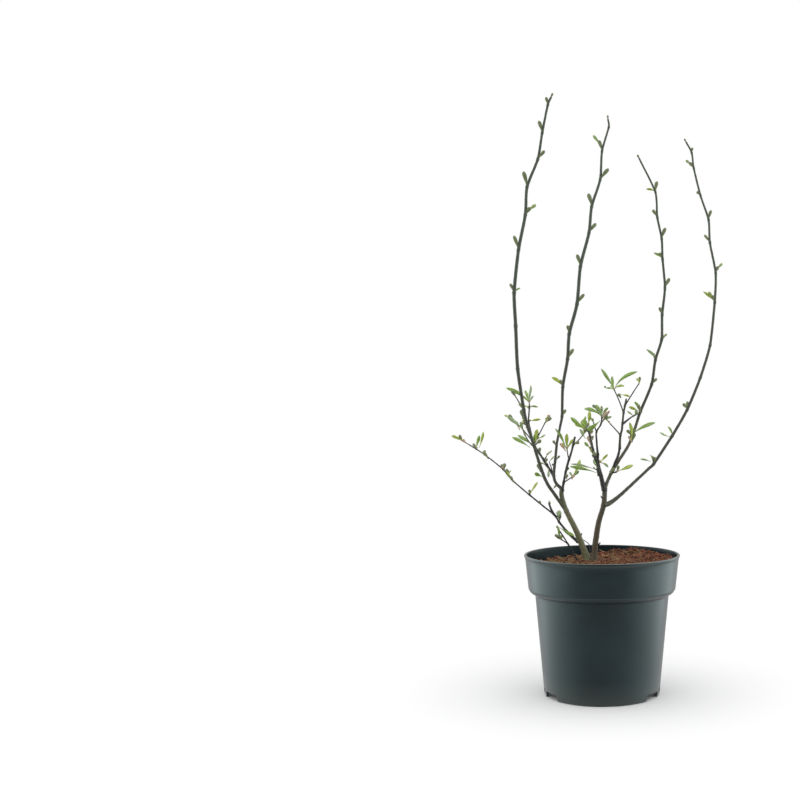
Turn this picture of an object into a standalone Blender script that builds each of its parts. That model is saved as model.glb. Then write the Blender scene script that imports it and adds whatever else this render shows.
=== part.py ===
"""Young magnolia shrub in a 19 cm nursery pot.

Metres, +Z up. The origin is the centre of the pot's flat underside, and the
viewer stands on the -Y side. Two stems rise from the compost and fork into
four tall whips with alternate buds. Short pruned branches with clusters of
young leaves stand between them, and one thin shoot reaches far to the left.
"""
import math
import random
from collections import namedtuple

import bmesh
import bpy
from mathutils import Matrix, Vector

MM = 0.001
CLEAR = 0.3 * MM

# Lines are sighted on the upright plane through the pot's axis, from an eye at
# this distance and height. A point nearer or further keeps its sight line.
EYE_DISTANCE = 1465.0 * MM
EYE_HEIGHT = 357.0 * MM

# Pot
POT_HEIGHT = 169.0 * MM
RIM_RADIUS = 95.0 * MM
COLLAR_TOP_RADIUS = 93.0 * MM
COLLAR_FOOT_RADIUS = 89.6 * MM
COLLAR_FOOT_HEIGHT = 127.5 * MM
BODY_TOP_RADIUS = 81.3 * MM
BODY_TOP_HEIGHT = 121.5 * MM
BASE_RADIUS = 70.0 * MM
WALL = 1.5 * MM
CHANNEL_HEIGHT = 8.0 * MM
CHANNEL_INNER_RADIUS = 52.0 * MM
POT_SIDES = 48
FEET = 3
FOOT_GAP_DEG = 24.0
DRAIN_RADIUS = 5.0 * MM

# Compost
GROUND = 161.0 * MM
COMPOST_LOW_LEFT = 5.5 * MM
COMPOST_HIGH_RIGHT = 3.0 * MM
COMPOST_BUMP = 1.0 * MM
COMPOST_RINGS = 6
COMPOST_EDGE = 2.2 * MM
COMPOST_FOOT = CHANNEL_HEIGHT + WALL + CLEAR

# Wood
FLARE = 0.22
FLARE_HEIGHT = 6.0 * MM
STEM_SIDES = 8
BOUGH_SIDES = 6
WHIP_SIDES = 5
TWIG_SIDES = 3
TWIG_THICK = 1.7 * MM
TWIG_DEPTH_DEG = 22.0

# Leaves and buds
LEAF_WIDTH_SHARE = 0.24
LEAF_DEPTH_DEG = 38.0
LEAF_THICK = 0.8 * MM
BUD_WIDTH_SHARE = 0.28
BUD_TURN_DEG = 35.0
SIDE_BUD_SPLAY_DEG = 27.0
SIDE_LEAF_SPLAY_DEG = 55.0
FILL_LEAF = 13.0 * MM

# A limb's line is in millimetres, as (sideways, height) pairs, and its depth and
# thickness run evenly from foot to tip. It is cut clear of the limbs it leaves.
Limb = namedtuple("Limb", "line depth thick sides leaves_from")
LIMBS = {
    "stem_left": Limb(
        ((-17.3, 161), (-22.5, 175), (-32.2, 199), (-43.5, 221.5), (-49.3, 240), (-48.8, 248.3)),
        (3, 1), (7.7, 5.2), STEM_SIDES, (),
    ),
    "stem_right": Limb(
        ((-9.4, 161), (-8.4, 179), (-4.2, 207), (2.1, 229.2), (3.4, 250)),
        (-2, -1), (6.7, 5.2), STEM_SIDES, (),
    ),
    "bough_1_far_left": Limb(
        ((-43.5, 221.5), (-58, 242), (-68, 257.3), (-76.4, 279.6), (-84.5, 305.7), (-92.5, 330)),
        (2, -27), (4.3, 3.6), BOUGH_SIDES, ("stem_left",),
    ),
    "bough_2_inner_left": Limb(
        ((-48.8, 248.3), (-56.5, 256), (-58.7, 266), (-57, 284), (-54.9, 304.5), (-50.5, 328)),
        (1, 22), (3.8, 3.0), BOUGH_SIDES, ("stem_left",),
    ),
    "bough_3_inner_right": Limb(
        ((3.4, 250), (11.8, 269), (22, 285.3), (32.8, 302.6), (39.8, 321), (43.5, 333)),
        (-1, -17), (4.3, 3.4), BOUGH_SIDES, ("stem_right",),
    ),
    "bough_4_far_right": Limb(
        ((2.1, 229.2), (9, 231), (21.7, 240.4), (47.6, 264.3), (60, 276)),
        (-1.5, 26), (4.3, 3.6), BOUGH_SIDES, ("stem_right", "bough_3_inner_right"),
    ),
    "branch_low_left": Limb(
        ((-29, 184), (-36.5, 190), (-45, 199), (-52, 207.5)),
        (5, 18), (3.0, 2.6), BOUGH_SIDES, ("stem_left",),
    ),
    "branch_left": Limb(
        ((-58.5, 264), (-62.8, 270.3), (-67, 277)),
        (7, 13), (2.8, 2.6), BOUGH_SIDES, ("bough_2_inner_left",),
    ),
    "branch_centre": Limb(
        ((3, 248), (1.5, 257), (-2.9, 262), (-3.8, 274), (-5.2, 291)),
        (-2, -14), (3.2, 2.6), BOUGH_SIDES, ("stem_right", "bough_3_inner_right"),
    ),
    "branch_right": Limb(
        ((11.8, 269), (16.5, 281.4), (19.7, 289.2), (21.6, 298)),
        (-5, -20), (3.0, 2.8), BOUGH_SIDES, ("bough_3_inner_right",),
    ),
}

# A whip is a chain of nodes, each (sideways, height, bud, leaf) in millimetres. A
# bud or leaf with a minus sign stands on the left, and 0 is none.
Whip = namedtuple("Whip", "bough nodes tip depth thick seed")
WHIPS = {
    "whip_1_far_left": Whip(
        "bough_1_far_left",
        (
            (-95.5, 345, -10, 0), (-103, 395, 0, 0), (-105.4, 447, 0, 0), (-107.3, 488, -12, 10),
            (-102, 540, -18, 0), (-93.6, 583, 15, 0), (-91.6, 617, -19, 0), (-78.3, 651, 13, 0),
            (-73, 683, -15, 0), (-66.3, 717, -10, 0),
        ),
        (-62.1, 727), (-27, -70), (3.6, 1.8), 11,
    ),
    "whip_2_inner_left": Whip(
        "bough_2_inner_left",
        (
            (-48.8, 337, 10, 0), (-47.9, 373, -10, -19), (-42, 407, 15, 0), (-40, 438, -11, 0),
            (-30.5, 474, 16, 0), (-26.4, 520, -16, 0), (-15.9, 561, 16, 0), (-12.7, 593, -18, 0),
            (-2.2, 626, 18, 0), (0, 661, -20, 0), (8.3, 690, 0, 0),
        ),
        (7.3, 700), (22, 42), (3.0, 1.6), 12,
    ),
    "whip_3_inner_right": Whip(
        "bough_3_inner_right",
        (
            (46.9, 343, -8, -14), (60.6, 376, 10, 0), (65.2, 406, -8, -18), (72.9, 431, 8, 0),
            (73.4, 461, -10, 0), (76.9, 494, 13, 0), (73.9, 529, -9, -14), (72.9, 554, 14, 0),
            (67.5, 580, -11, 0), (65.2, 611, 13, -12),
        ),
        (45.3, 652), (-17, -30), (3.4, 1.5), 13,
    ),
    "whip_4_far_right": Whip(
        "bough_4_far_right",
        (
            (63.2, 279, -9, -13), (85.6, 313, 0, -14), (104, 345, -12, 0), (120, 384, 0, 0),
            (132, 424, 0, 0), (137.6, 476, -14, -21), (138.8, 512, 14, 0), (131.7, 549, -13, 0),
            (130.1, 577, 13, 0), (120.1, 607, -7, 0), (112, 640, -13, 0), (109.5, 659, 7, 0),
        ),
        (102.6, 672), (26, 82), (3.6, 1.6), 14,
    ),
}

# A mass grows on a spine like a limb's. A sprig leaves the spine at a height, runs
# at a heading (0 right, 90 up, 180 left) for a length, and ends in leaves, each
# (heading, length). With no length its leaves stand on the spine itself.
Mass = namedtuple("Mass", "spine depth thick parents reach seed sprigs")
MASSES = {
    "leaves_low_left": Mass(
        ((-52, 207.5), (-58.8, 217), (-75.7, 230.6), (-109, 258.6), (-121.6, 273), (-145.8, 292), (-171, 307.7)),
        (18, 42), (2.0, 1.2), ("branch_low_left",), 34, 21,
        (
            (208, 85, 0, ((80, 10),)),
            (217, 111, 13, ((100, 4),)),
            (241, 70, 0, ((92, 7), (60, 18))),
            (259, 125, 7, ((112, 9),)),
            (272, 100, 0, ((110, 7),)),
            (290, 90, 0, ((95, 6),)),
            (297, 90, 0, ((75, 18), (125, 8))),
            (307, 155, 0, ((154, 16), (118, 9))),
        ),
    ),
    "leaves_left": Mass(
        ((-67, 277), (-76.4, 292), (-82.4, 302), (-87, 318), (-89.6, 331.4), (-88.5, 350)),
        (13, 20), (2.6, 1.6), ("branch_left",), 50, 22,
        (
            (278, 160, 0, ((165, 12), (112, 10))),
            (283, 60, 6, ((48, 10),)),
            (292, 95, 0, ((84, 7),)),
            (301, 148, 0, ((150, 26), (81, 17))),
            (303, 63, 30, ((58, 9), (38, 10))),
            (304, 128, 21, ((112, 9), (137, 26))),
            (306, 117, 17, ((100, 4),)),
            (307, 25, 6, ((28, 11),)),
            (322, 140, 8, ((165, 7), (92, 8))),
            (331, 20, 0, ((8, 15),)),
            (347, 150, 0, ((152, 10), (6, 11))),
            (350, 95, 3, ((86, 18), (108, 15), (130, 12), (62, 11), (146, 34))),
        ),
    ),
    "leaves_middle": Mass(
        ((-48.5, 246), (-46.5, 258), (-42.5, 277), (-37.2, 294), (-33, 312)),
        (0, -22), (2.8, 2.2), ("stem_left", "bough_2_inner_left"), 45, 23,
        (
            (256, 33, 11, ((64, 24), (42, 13))),
            (269, 60, 0, ((58, 7),)),
            (284, 101, 12, ((91, 20), (130, 11), (118, 30), (56, 16))),
            (301, 48, 20, ((47, 13), (70, 8))),
            (304, 20, 0, ((12, 7),)),
        ),
    ),
    "leaves_centre": Mass(
        ((-3.2, 265), (-5, 275), (-7.7, 284), (-10.7, 295), (-13.4, 308), (-16, 318)),
        (-7, -34), (2.6, 2.0), ("branch_centre",), 62, 24,
        (
            (271, 158, 5, ((168, 30),)),
            (279, 30, 3, ((46, 15), (-30, 13))),
            (284, 150, 0, ((118, 8),)),
            (296, 170, 0, ((-62, 8), (140, 6))),
            (314, 70, 0, ((62, 7),)),
            (318, 145, 5, ((90, 16), (140, 23), (152, 15), (60, 9))),
        ),
    ),
    "leaves_right": Mass(
        ((21.6, 298), (22.3, 313), (24.3, 321), (26.2, 340), (29.7, 358.5)),
        (-20, -34), (2.8, 2.0), ("branch_right",), 60, 25,
        (
            (314, 132, 19, ((125, 4),)),
            (328, 36, 18, ((30, 5), (68, 7))),
            (341, 112, 30, ((122, 30), (97, 17), (38, 35), (168, 10), (20, 13))),
            (350, 58, 31, ((85, 8),)),
        ),
    ),
    "leaves_top_centre": Mass(
        ((-5.2, 291), (-6.5, 306), (-6.7, 318), (-1.5, 327), (0, 337)),
        (-14, -17), (2.6, 1.5), ("branch_centre",), 40, 26,
        (
            (318, 108, 12, ((104, 5),)),
            (328, 55, 4, ((52, 9),)),
            (336, 90, 0, ((117, 17), (128, 14), (156, 24), (57, 14), (-128, 26), (92, 14))),
        ),
    ),
    "spur_right_low": Mass(
        ((11.8, 269), (15.5, 268.5), (18, 269.5)),
        (-5, -10), (1.8, 1.6), ("bough_3_inner_right", "branch_right"), 34, 27,
        (
            (269.4, 20, 0, ((20, 22), (75, 8))),
        ),
    ),
    "spur_right_high": Mass(
        ((35.5, 309), (35, 312), (35.5, 315)),
        (-13, -19), (1.8, 1.6), ("bough_3_inner_right",), 40, 28,
        (
            (314, 60, 0, ((94, 20), (26, 34), (130, 8), (62, 10))),
        ),
    ),
    "dry_stick": Mass(
        ((-30.5, 162), (-36.5, 173), (-48.3, 192), (-55.7, 202.6)),
        (-3, -12), (1.8, 1.4), (), 26, 29,
        (
            (181, 145, 8, ((146, 9), (112, 14))),
        ),
    ),
}

# Colours, linear RGB, with roughness
POT_PLASTIC = ((0.022, 0.030, 0.032), 0.42)
COMPOST_BROWN = ((0.16, 0.065, 0.035), 0.95)
STEM_BARK = ((0.090, 0.075, 0.050), 0.80)
BOUGH_BARK = ((0.045, 0.040, 0.030), 0.75)
WHIP_BARK = ((0.050, 0.060, 0.045), 0.70)
YOUNG_LEAF = ((0.19, 0.33, 0.06), 0.60)
DRY_WOOD = ((0.030, 0.024, 0.018), 0.85)


def clear_scene():
    for old in list(bpy.data.objects):
        bpy.data.objects.remove(old, do_unlink=True)


def dress(obj, finish):
    """One material of its own for each object."""
    colour, roughness = finish
    material = bpy.data.materials.new(obj.name + "_finish")
    material.use_nodes = True
    shader = material.node_tree.nodes["Principled BSDF"]
    shader.inputs["Base Color"].default_value = (*colour, 1.0)
    shader.inputs["Roughness"].default_value = roughness
    shader.inputs["Metallic"].default_value = 0.0
    obj.data.materials.clear()
    obj.data.materials.append(material)


def object_from(name, bm):
    bmesh.ops.recalc_face_normals(bm, faces=bm.faces)
    mesh = bpy.data.meshes.new(name)
    bm.to_mesh(mesh)
    bm.free()
    obj = bpy.data.objects.new(name, mesh)
    bpy.context.scene.collection.objects.link(obj)
    return obj


def apply_modifiers(obj):
    """The mesh as its modifiers leave it, with the modifiers gone."""
    graph = bpy.context.evaluated_depsgraph_get()
    mesh = bpy.data.meshes.new_from_object(obj.evaluated_get(graph))
    obj.modifiers.clear()
    obj.data = mesh


def cut(obj, cutters):
    """The cutters taken away from the object, which stays one closed body."""
    for cutter in cutters:
        modifier = obj.modifiers.new("cut", "BOOLEAN")
        modifier.operation = "DIFFERENCE"
        modifier.object = cutter
    apply_modifiers(obj)
    for cutter in cutters:
        bpy.data.objects.remove(cutter, do_unlink=True)
    keep_largest(obj)


def fuse(obj, pieces):
    """The pieces joined on to the object by one union on their collection."""
    if not pieces:
        return
    group = bpy.data.collections.new(obj.name + "_pieces")
    bpy.context.scene.collection.children.link(group)
    for piece in pieces:
        bpy.context.scene.collection.objects.unlink(piece)
        group.objects.link(piece)
    modifier = obj.modifiers.new("fuse", "BOOLEAN")
    modifier.operation = "UNION"
    modifier.operand_type = "COLLECTION"
    modifier.collection = group
    modifier.solver = "MANIFOLD"
    apply_modifiers(obj)
    for piece in pieces:
        bpy.data.objects.remove(piece, do_unlink=True)
    bpy.data.collections.remove(group)
    keep_largest(obj)


def keep_largest(obj):
    """Drops loose scraps, also one that only touches, so that one closed body is left."""
    bm = bmesh.new()
    bm.from_mesh(obj.data)
    bmesh.ops.triangulate(bm, faces=bm.faces)
    todo = set(bm.faces)
    islands = []
    while todo:
        front = [todo.pop()]
        island = list(front)
        while front:
            for edge in front.pop().edges:
                if len(edge.link_faces) != 2:
                    continue
                for face in edge.link_faces:
                    if face in todo:
                        todo.discard(face)
                        island.append(face)
                        front.append(face)
        islands.append(island)
    islands.sort(key=len)
    for island in islands[:-1]:
        bmesh.ops.delete(bm, geom=island, context="FACES")
    bm.to_mesh(obj.data)
    bm.free()


def sighted(sideways, depth, height):
    """The real place of a point sighted on the axis plane, in metres."""
    spread = 1.0 + depth * MM / EYE_DISTANCE
    return Vector((
        sideways * MM * spread,
        depth * MM,
        EYE_HEIGHT + (height * MM - EYE_HEIGHT) * spread,
    ))


def line_points(line, depth):
    """The real points of a line whose depth runs evenly from foot to tip."""
    steps = [math.dist(a, b) for a, b in zip(line, line[1:])]
    total = sum(steps)
    gone = 0.0
    points = []
    for (sideways, height), step in zip(line, [0.0] + steps):
        gone += step
        share = gone / total
        points.append(sighted(sideways, depth[0] + (depth[1] - depth[0]) * share, height))
    return points


def smooth(points, parts):
    """A smooth curve through the points, with so many parts between two of them."""
    ends = [2 * points[0] - points[1], *points, 2 * points[-1] - points[-2]]
    curve = [points[0]]
    for a, b, c, d in zip(ends, ends[1:], ends[2:], ends[3:]):
        for part in range(1, parts + 1):
            t = part / parts
            curve.append(0.5 * (
                2 * b + (c - a) * t + (2 * a - 5 * b + 4 * c - d) * t ** 2
                + (3 * b - 3 * c + d - a) * t ** 3
            ))
    return curve


def radii_along(points, thick):
    """Radii that taper evenly from the foot's thickness to the tip's."""
    last = len(points) - 1
    return [(thick[0] + (thick[1] - thick[0]) * i / last) * MM / 2 for i in range(last + 1)]


def tube(name, points, radii, sides, flat_foot=False):
    """A closed tube of so many sides round a line. A flat foot is cut level."""
    bm = bmesh.new()
    across = None
    rings = []
    for i, point in enumerate(points):
        along = (points[min(i + 1, len(points) - 1)] - points[max(i - 1, 0)]).normalized()
        if i == 0 and flat_foot:
            along = Vector((0, 0, 1))
        if across is None:
            across = along.orthogonal()
        across = (across - along * across.dot(along)).normalized()
        up = along.cross(across)
        ring = []
        for side in range(sides):
            turn = 2 * math.pi * side / sides
            ring.append(bm.verts.new(point + radii[i] * (math.cos(turn) * across + math.sin(turn) * up)))
        rings.append(ring)
    for low, high in zip(rings, rings[1:]):
        for side in range(sides):
            after = (side + 1) % sides
            bm.faces.new((low[side], low[after], high[after], high[side]))
    bm.faces.new(reversed(rings[0]))
    bm.faces.new(rings[-1])
    return object_from(name, bm)


def blade(name, root, tip, width, thick, flat):
    """A leaf or bud: a small square root, a widest ring and a point, in nine faces."""
    along = tip - root
    across = flat - along * flat.dot(along) / along.length_squared
    across.normalize()
    up = along.normalized().cross(across)
    bm = bmesh.new()
    rings = []
    for share, half_width, half_thick in ((0.0, 0.45 * MM, 0.45 * MM), (0.5, width / 2, thick / 2)):
        centre = root + along * share
        rings.append([
            bm.verts.new(centre + x * half_width * across + y * half_thick * up)
            for x, y in ((1, 0), (0, 1), (-1, 0), (0, -1))
        ])
    point = bm.verts.new(tip)
    for side in range(4):
        after = (side + 1) % 4
        bm.faces.new((rings[0][side], rings[0][after], rings[1][after], rings[1][side]))
        bm.faces.new((rings[1][side], rings[1][after], point))
    bm.faces.new(reversed(rings[0]))
    return object_from(name, bm)


class Room:
    """What is already built, as round-ended rods that later pieces keep clear of."""

    def __init__(self):
        self.rods = []

    def add(self, owner, points, radii):
        for a, b, radius in zip(points, points[1:], radii):
            self.rods.append((owner, a, b, radius))

    def free(self, owners, root, tip, radius):
        """Whether a straight piece touches nothing but its own owners' rods."""
        for owner, a, b, other in self.rods:
            if owner in owners:
                continue
            if gap_between(root, tip, a, b) < radius + other + CLEAR:
                return False
        return True


def gap_between(a, b, c, d):
    """The least distance between two straight stretches, from points along each."""
    stations = 9
    least = math.inf
    along = d - c
    for i in range(stations):
        point = a.lerp(b, i / (stations - 1))
        share = max(0.0, min(1.0, (point - c).dot(along) / along.length_squared))
        least = min(least, (point - c - along * share).length)
    return least


def heading_vector(heading, depth_deg):
    """A direction that shows at this heading from the front, turned in depth."""
    turn = math.radians(heading)
    return Vector((math.cos(turn), math.tan(math.radians(depth_deg)), math.sin(turn)))


def sighted_height(point):
    """The height at which a real point is sighted on the axis plane."""
    return EYE_HEIGHT + (point.z - EYE_HEIGHT) / (1.0 + point.y / EYE_DISTANCE)


def point_at_height(points, height):
    """The place on a rising line that is sighted at this height, or else its tip."""
    for a, b in zip(points, points[1:]):
        low, high = sighted_height(a), sighted_height(b)
        if low <= height <= high and low < high:
            return a.lerp(b, (height - low) / (high - low))
    return points[-1].copy()


def screw_profile(name, profile, sides):
    """A body turned from a profile of (radius, height) pairs about the Z axis."""
    bm = bmesh.new()
    corners = [bm.verts.new((radius, 0.0, height)) for radius, height in profile]
    for a, b in zip(corners, corners[1:]):
        bm.edges.new((a, b))
    mesh = bpy.data.meshes.new(name)
    bm.to_mesh(mesh)
    bm.free()
    obj = bpy.data.objects.new(name, mesh)
    bpy.context.scene.collection.objects.link(obj)
    turned = obj.modifiers.new("turned", "SCREW")
    turned.steps = sides
    turned.render_steps = sides
    turned.use_merge_vertices = True
    turned.merge_threshold = 0.00001
    apply_modifiers(obj)
    return obj


def pot_inner_wall():
    """The inside of the wall from the floor's edge up to the rim."""
    return [
        (BASE_RADIUS - WALL + 1.0 * MM, CHANNEL_HEIGHT + WALL),
        (BODY_TOP_RADIUS - WALL, BODY_TOP_HEIGHT),
        (BODY_TOP_RADIUS - 0.8 * MM, BODY_TOP_HEIGHT + 3.2 * MM),
        (COLLAR_FOOT_RADIUS - WALL - 2.0 * MM, COLLAR_FOOT_HEIGHT),
        (COLLAR_FOOT_RADIUS - WALL, COLLAR_FOOT_HEIGHT + 1.8 * MM),
        (COLLAR_TOP_RADIUS - WALL, POT_HEIGHT - 3.0 * MM),
    ]


def pot_profile():
    """From the floor's centre up the inside, over the lip and down the outside."""
    step = CHANNEL_INNER_RADIUS - 2.0 * MM
    inside = [(0.0, WALL), (step - WALL, WALL), (CHANNEL_INNER_RADIUS - WALL, CHANNEL_HEIGHT + WALL)]
    lip = [
        (COLLAR_TOP_RADIUS - WALL + 0.4 * MM, POT_HEIGHT - 0.5 * MM),
        (COLLAR_TOP_RADIUS - 0.6 * MM, POT_HEIGHT),
        (RIM_RADIUS - 0.5 * MM, POT_HEIGHT),
        (RIM_RADIUS, POT_HEIGHT - 0.6 * MM),
        (RIM_RADIUS, POT_HEIGHT - 2.2 * MM),
        (COLLAR_TOP_RADIUS, POT_HEIGHT - 3.2 * MM),
    ]
    outside = [
        (COLLAR_FOOT_RADIUS + 0.1 * MM, COLLAR_FOOT_HEIGHT + 1.4 * MM),
        (COLLAR_FOOT_RADIUS - 0.5 * MM, COLLAR_FOOT_HEIGHT - 0.4 * MM),
        (COLLAR_FOOT_RADIUS - 2.4 * MM, COLLAR_FOOT_HEIGHT - 1.6 * MM),
        (BODY_TOP_RADIUS + 0.8 * MM, BODY_TOP_HEIGHT + 2.0 * MM),
        (BODY_TOP_RADIUS, BODY_TOP_HEIGHT),
        (BASE_RADIUS + 1.0 * MM, CHANNEL_HEIGHT + 1.0 * MM),
        (BASE_RADIUS, 0.8 * MM),
        (BASE_RADIUS - 0.6 * MM, 0.0),
    ]
    under = [
        (BASE_RADIUS - 2.0 * MM, 0.0),
        (BASE_RADIUS - 1.8 * MM, CHANNEL_HEIGHT),
        (CHANNEL_INNER_RADIUS, CHANNEL_HEIGHT),
        (step, 0.0),
        (0.0, 0.0),
    ]
    return inside + pot_inner_wall() + lip + outside + under


def block(name, size, centre, turn_deg):
    """A box turned about the pot's axis after it is set out along +X."""
    bm = bmesh.new()
    place = Matrix.Rotation(math.radians(turn_deg), 4, "Z") @ Matrix.Translation(centre)
    bmesh.ops.create_cube(bm, size=1.0, matrix=place @ Matrix.Diagonal((*size, 1.0)))
    return object_from(name, bm)


def build_pot():
    """Thin moulded pot with a collar, a rolled lip, three feet and drain holes."""
    pot = screw_profile("pot", pot_profile(), POT_SIDES)
    cutters = []
    gap_width = 2 * BASE_RADIUS * math.sin(math.radians(FOOT_GAP_DEG / 2))
    for foot in range(FEET):
        turn = -90.0 + (foot + 0.5) * 360.0 / FEET
        cutters.append(block(
            "foot_gap", (8 * MM, gap_width, 2 * CHANNEL_HEIGHT),
            Vector((BASE_RADIUS, 0, 0)), turn,
        ))
        bm = bmesh.new()
        middle = (CHANNEL_INNER_RADIUS + BASE_RADIUS) / 2
        place = Matrix.Rotation(math.radians(turn), 4, "Z") @ Matrix.Translation(
            (middle, 0, CHANNEL_HEIGHT + WALL / 2)
        )
        bmesh.ops.create_cone(
            bm, cap_ends=True, segments=12, radius1=DRAIN_RADIUS, radius2=DRAIN_RADIUS,
            depth=4 * WALL, matrix=place,
        )
        cutters.append(object_from("drain", bm))
    cut(pot, cutters)
    pot.data.shade_smooth()
    pot.data.set_sharp_from_angle(angle=math.radians(35))
    dress(pot, POT_PLASTIC)


def compost_height(x, y):
    """The compost's level: lower at the left, level round the stems, with low bumps."""
    reach = RIM_RADIUS
    slope = COMPOST_HIGH_RIGHT if x > 0 else COMPOST_LOW_LEFT
    bump = math.sin(x / (9 * MM) + 1.3) * math.cos(y / (11 * MM) - 0.6)
    bump += 0.6 * math.sin((x + y) / (5 * MM))
    away = math.hypot(x + 0.014, y)
    settle = min(1.0, max(0.0, (away - 14 * MM) / (16 * MM)))
    return GROUND - CLEAR + settle * (slope * x / reach + COMPOST_BUMP * bump)


def build_compost():
    """The filling of the pot, clear of its wall, under an uneven top."""
    bm = bmesh.new()
    wall = [(radius - CLEAR - 0.2 * MM, height) for radius, height in pot_inner_wall()]
    wall[0] = (wall[0][0], COMPOST_FOOT)
    top_radius = COLLAR_TOP_RADIUS - WALL - COMPOST_EDGE
    loops = []
    for radius, height in wall[:-1]:
        loops.append([
            bm.verts.new((radius * math.cos(t), radius * math.sin(t), height))
            for t in (2 * math.pi * i / POT_SIDES for i in range(POT_SIDES))
        ])
    for ring in range(COMPOST_RINGS):
        radius = top_radius * (1 - ring / COMPOST_RINGS)
        loop = []
        for i in range(POT_SIDES):
            t = 2 * math.pi * i / POT_SIDES
            x, y = radius * math.cos(t), radius * math.sin(t)
            loop.append(bm.verts.new((x, y, compost_height(x, y))))
        loops.append(loop)
    for low, high in zip(loops, loops[1:]):
        for i in range(POT_SIDES):
            after = (i + 1) % POT_SIDES
            bm.faces.new((low[i], low[after], high[after], high[i]))
    centre = bm.verts.new((0, 0, compost_height(0, 0)))
    for i in range(POT_SIDES):
        bm.faces.new((loops[-1][i], loops[-1][(i + 1) % POT_SIDES], centre))
    bm.faces.new(reversed(loops[0]))
    compost = object_from("compost", bm)
    compost.data.shade_smooth()
    dress(compost, COMPOST_BROWN)


def limb_shape(name, extra=0.0):
    """A limb's smooth line and its radii, flared at the ground on the stems."""
    limb = LIMBS[name]
    points = smooth(line_points(limb.line, limb.depth), 3)
    radii = [radius + extra for radius in radii_along(points, limb.thick)]
    if name.startswith("stem"):
        points[0].z = GROUND
        radii = [
            radius * (1 + FLARE * math.exp(-(point.z - GROUND) / FLARE_HEIGHT))
            for point, radius in zip(points, radii)
        ]
    if extra:
        points[0] -= (points[1] - points[0]).normalized() * extra
        points[-1] += (points[-1] - points[-2]).normalized() * extra
    return points, radii


def clearance_tubes(names):
    """Each limb a little thicker and longer, to cut the limbs that leave it."""
    tubes = []
    for name in names:
        points, radii = limb_shape(name, CLEAR)
        tubes.append(tube("clearance", points, radii, LIMBS[name].sides))
    return tubes


def build_limb(name, room):
    limb = LIMBS[name]
    points, radii = limb_shape(name)
    obj = tube(name, points, radii, limb.sides, flat_foot=name.startswith("stem"))
    room.add(name, points, radii)
    if limb.leaves_from:
        cut(obj, clearance_tubes(limb.leaves_from))
    obj.data.shade_smooth()
    obj.data.set_sharp_from_angle(angle=math.radians(60))
    dress(obj, STEM_BARK if name.startswith("stem") else BOUGH_BARK)


def whip_line(whip):
    """The whip's nodes as real points, with the depth easing off towards the tip."""
    pairs = [LIMBS[whip.bough].line[-1], *(node[:2] for node in whip.nodes), whip.tip]
    low, high = pairs[0][1], pairs[-1][1]
    points = []
    for sideways, height in pairs:
        ease = math.sin((height - low) / (high - low) * math.pi / 2)
        points.append(sighted(sideways, whip.depth[0] + (whip.depth[1] - whip.depth[0]) * ease, height))
    return points


def side_blade(chance, point, along, size, splay_deg, radius):
    """Root and tip of a bud or leaf that stands off a whip to its left or right."""
    side = 1.0 if size > 0 else -1.0
    turn = math.radians(chance.uniform(-BUD_TURN_DEG, BUD_TURN_DEG))
    away = Vector((side * math.cos(turn), math.sin(turn), 0.0))
    away = (away - along * away.dot(along)).normalized()
    splay = math.radians(splay_deg)
    direction = along * math.cos(splay) + away * math.sin(splay)
    root = point - direction * radius * 0.5
    return root, point + direction * abs(size) * MM


def build_whip(name, room):
    """A whip with a bud on alternate sides at each node, and one at its tip."""
    whip = WHIPS[name]
    chance = random.Random(whip.seed)
    points = whip_line(whip)
    radii = radii_along(points, whip.thick)
    body = tube(name, points, radii, WHIP_SIDES)
    own = {name, whip.bough}
    pieces = []
    for i, (_, _, bud, leaf) in enumerate(whip.nodes, start=1):
        along = (points[i + 1] - points[i - 1]).normalized()
        for size, splay, share in (
            (bud, SIDE_BUD_SPLAY_DEG, BUD_WIDTH_SHARE), (leaf, SIDE_LEAF_SPLAY_DEG, LEAF_WIDTH_SHARE),
        ):
            if not size:
                continue
            root, tip = side_blade(chance, points[i], along, size, splay, radii[i])
            width = abs(size) * MM * share
            if room.free(own, root, tip, width / 2):
                thick = width * 0.8 if splay == SIDE_BUD_SPLAY_DEG else LEAF_THICK
                flat = along.cross(Vector((0, 1, 0)))
                pieces.append(blade("piece", root, tip, width, thick, flat))
    along = (points[-1] - points[-2]).normalized()
    pieces.append(blade(
        "piece", points[-1] - along * 2 * MM, points[-1] + along * 5 * MM, 2.2 * MM, 2.2 * MM,
        along.orthogonal(),
    ))
    fuse(body, pieces)
    cut(body, clearance_tubes([whip.bough]))
    room.add(name, points, [radius + 1 * MM for radius in radii])
    dress(body, WHIP_BARK)


def leaf_turns(chance, count):
    """Depth angles for so many leaves, spread in front and behind by turns."""
    side = chance.choice((-1, 1))
    turns = []
    for i in range(count):
        turns.append(side * chance.uniform(0.25, 1.0) * LEAF_DEPTH_DEG)
        side = -side
    return turns


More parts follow.
